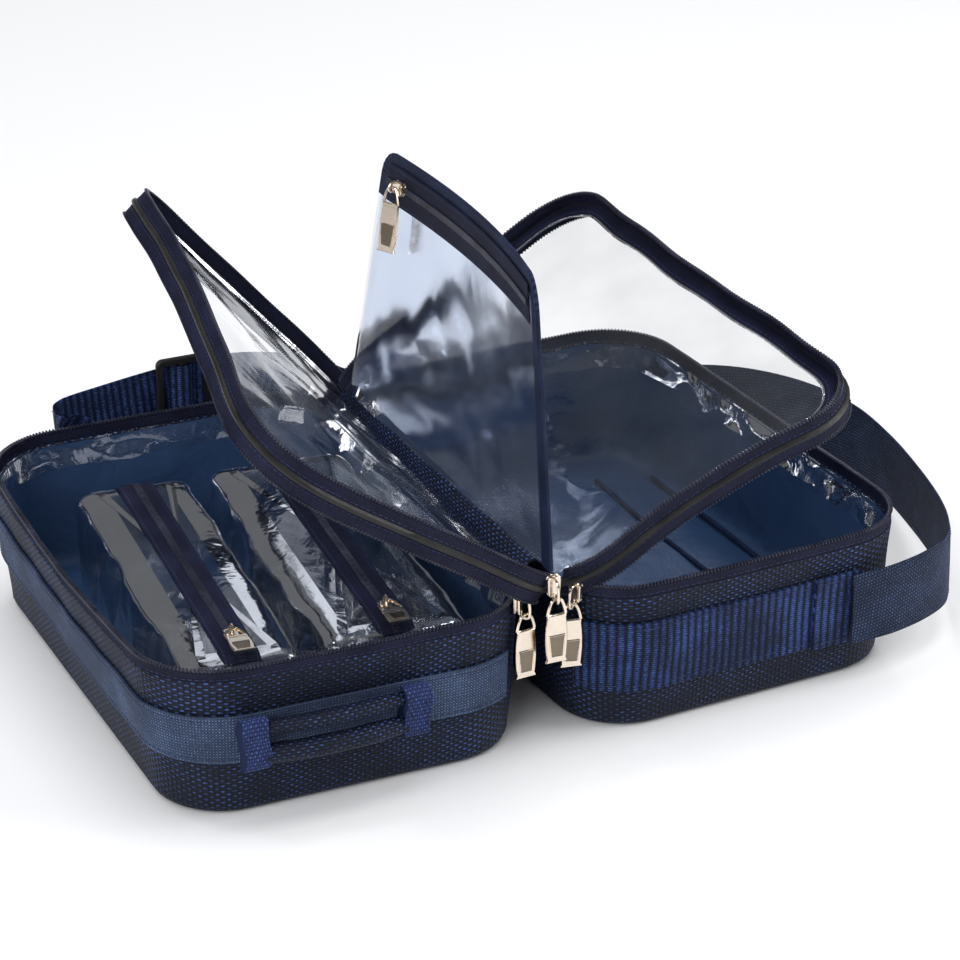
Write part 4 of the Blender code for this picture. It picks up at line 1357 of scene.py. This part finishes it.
def ribbon(side, route, cloth):
    """Flat webbing standing on its edge, a little cupped and never quite even."""
    line = smooth_line(route, 9)
    tangent = unit(np.gradient(line, axis=0))
    outward = unit(level(np.stack([tangent[:, 1], -tangent[:, 0]], axis=1)))
    up = np.cross(tangent, outward)
    up *= np.sign(up[:, 2:3])
    run = array(run_of(line, False, 0))
    free = np.clip(run / 25, 0, 1) * np.clip((run[-1] - run) / 25, 0, 1)

    def bow(at, loose, v):
        """How far the cloth stands out at a share of its width; it leans and cups where free."""
        lean = loose * 0.035 * np.sin(at * 0.011 + 1.0)
        return loose * 0.7 * np.sin(at * 0.017) * (4 * v * v - 0.5) + lean * v * STRAP_WIDE
    across = np.linspace(-0.5, 0.5, 11)
    columns = []
    for face, order in ((1, across), (-1, across[::-1])):
        for v in order:
            edge = 1 - (abs(v) * 2) ** 8 * 0.5
            out = bow(run, free, v) + face * STRAP_THICK / 2 * edge
            columns.append(line + outward * out[:, None] + up * v * STRAP_WIDE)
    b = Builder()
    b.grid(np.stack(columns, axis=1), loop_j=True, caps=True)
    # sewn lines near both edges
    marks = np.arange(3.0, run[-1] - 2.0, 4.2)
    place, along_m, out_m, up_m = [
        np.stack([np.interp(marks, run, ways[:, k]) for k in range(3)], axis=1)
        for ways in (line, tangent, outward, up)]
    for v in (-0.42, 0.42):
        for face in (-1, 1):
            out = bow(marks, np.interp(marks, run, free), v) + face * (STRAP_THICK / 2 + 0.02)
            centre = place + out_m * out[:, None] + up_m * v * STRAP_WIDE
            copies(b, centre, (along_m, up_m, out_m), *pill(2.4, 0.4, 0.4, 0.5), as_is, 1)
    b.make(f"strap_{side}_webbing", [cloth, THREAD], f"{side}_tray",
           [f"shoulder_strap_{side}"], smooth=50)


ribbon("left", STRAP_LEFT, STRAP_RIBBED)
ribbon("right", STRAP_RIGHT, STRAP_WEAVE)


def triglide():
    b = Builder()
    wide, tall, thick, bar = 31.0, 47.0, 3.0, 4.0
    middle = array((25.0, 161.0 - 0.75 - 0.3 - 1.5 - 0.4, 78.0))

    def place(p):
        return middle + np.stack([p[..., 0], p[..., 2], p[..., 1]], axis=-1)
    outer = array(rounded(wide / 2, tall / 2, 3.5, 5))
    levels = [(0.7, -thick / 2), (0.0, -thick / 2 + 0.7), (0.0, thick / 2 - 0.7), (0.7, thick / 2)]
    # the frame as a ring, with two openings parted by the bar
    inner = array(rounded(wide / 2 - bar, tall / 2 - bar, 1.2, 5))
    loops = [level(outer * (1 - inset / 20), z) for inset, z in levels]
    loops += [level(inner * (1 + inset / 30), z) for inset, z in reversed(levels)]
    b.grid(place(array(loops).transpose(1, 0, 2)), loop_i=True, loop_j=True)
    bar_levels = [(0.5, -thick / 2 + 0.2), (0, -thick / 2 + 0.7), (0, thick / 2 - 0.7),
                  (0.5, thick / 2 - 0.2)]
    slab(b, rounded(2.0, tall / 2 - bar + 0.5, 0.8, 3), bar_levels, place)
    for k in range(9):
        z = -14 + 3.5 * k
        slab(b, [(p, z + q) for p, q in rounded(1.7, 0.45, 0.35, 2)],
             [(0, thick / 2 - 0.4), (0, thick / 2 - 0.05)], place)
    # the strand that goes over the middle bar
    rows = []
    for x, y in smooth_line([(-7.5, 1.9), (-5.4, 0.4), (-3.6, -2.1), (-1.4, -3.4), (1.4, -3.4), (3.6, -2.1),
                             (5.4, 0.4), (7.5, 1.9)], 4):
        rows.append([(x, y, z) for z in np.linspace(-18.6, 18.6, 9)]
                    + [(x * 0.86, y + 0.9, z) for z in np.linspace(18.6, -18.6, 9)])
    b.grid(middle + array(rows), loop_j=True, caps=True, slot=1)
    b.make("triglide_plastic", [BLACK, STRAP_RIBBED], "strap_triglide",
           ["strap_triglide"], smooth=35)


triglide()


# ------------------------------------------------------------------ stage, light and camera

def stage():
    floor_mesh = bpy.data.meshes.new("floor")
    size = 12.0
    corners = [(-size, -size, 0), (size, -size, 0), (size, size, 0), (-size, size, 0)]
    floor_mesh.from_pydata(corners, [], [(0, 1, 2, 3)])
    floor = show("floor", floor_mesh)
    floor.location.z = -0.0004
    pale = bpy.data.materials.new("pale_floor")
    pale.use_nodes = True
    shader = pale.node_tree.nodes["Principled BSDF"]
    shader.inputs["Base Color"].default_value = (0.74, 0.74, 0.75, 1)
    shader.inputs["Roughness"].default_value = 0.6
    floor_mesh.materials.append(pale)

    world = bpy.context.scene.world or bpy.data.worlds.new("studio")
    bpy.context.scene.world = world
    world.use_nodes = True
    tree = world.node_tree
    sky = tree.nodes["Background"].inputs
    sky["Color"].default_value = (0.95, 0.97, 1.0, 1)
    # the studio beyond the lamps is dim, so that gloss shows the lamps and not an even white
    path = tree.nodes.new("ShaderNodeLightPath")
    dim = tree.nodes.new("ShaderNodeMapRange")
    dim.inputs["To Min"].default_value = 0.42
    dim.inputs["To Max"].default_value = 0.15
    tree.links.new(path.outputs["Is Glossy Ray"], dim.inputs["Value"])
    tree.links.new(dim.outputs[0], sky["Strength"])
    bpy.context.scene.view_settings.view_transform = "Standard"

    def lamp(name, kind, place, aim, power, size=(1, 1)):
        light = bpy.data.lights.new(name, kind)
        if kind == "SUN":
            light.angle = math.radians(50)
        else:
            light.shape = "RECTANGLE"
            light.size, light.size_y = size
        light.energy = power
        made = show(name, light)
        made.visible_glossy = kind != "SUN"
        made.location = place
        made.rotation_mode = "QUATERNION"
        made.rotation_quaternion = (Vector(aim) - Vector(place)).to_track_quat("-Z", "Y")
    aim = (0.13, 0.0, 0.06)
    lamp("overhead", "SUN", (0.4, 0.5, 3), aim, 1.75)
    lamp("key", "AREA", (-1.2, -0.9, 1.1), aim, 22, (1.3, 1.3))
    lamp("side", "AREA", (1.4, -0.5, 0.8), aim, 16, (0.9, 1.2))
    lamp("spark", "AREA", (-0.5, 0.4, 1.5), aim, 2.0, (0.14, 0.14))
    lamp("second_spark", "AREA", (0.7, 1.1, 1.1), aim, 2.0, (0.10, 0.3))


stage()


def camera():
    """The photograph's viewpoint: how high and far round the camera stood, and where it aimed."""
    azimuth, elevation = math.radians(24.39), math.radians(25.54)
    distance, focal, sensor = 1.947, 143.7, 36.0
    forward = Vector((math.sin(azimuth) * math.cos(elevation),
                      math.cos(azimuth) * math.cos(elevation), -math.sin(elevation)))
    right = Vector((math.cos(azimuth), -math.sin(azimuth), 0))
    up = right.cross(forward)
    # how far the model's origin sits left of and below the middle of the view, in sensor widths
    left, below = 0.23758, 0.18873
    data = bpy.data.cameras.new("camera")
    data.sensor_width, data.lens = sensor, focal
    made = show("camera", data)
    made.location = -forward * distance + right * left * sensor / focal * distance \
        + up * below * sensor / focal * distance
    made.rotation_mode = "QUATERNION"
    made.rotation_quaternion = Matrix((right, up, -forward)).transposed().to_quaternion()
    data.clip_start, data.clip_end = 0.05, 50
    bpy.context.scene.camera = made


camera()
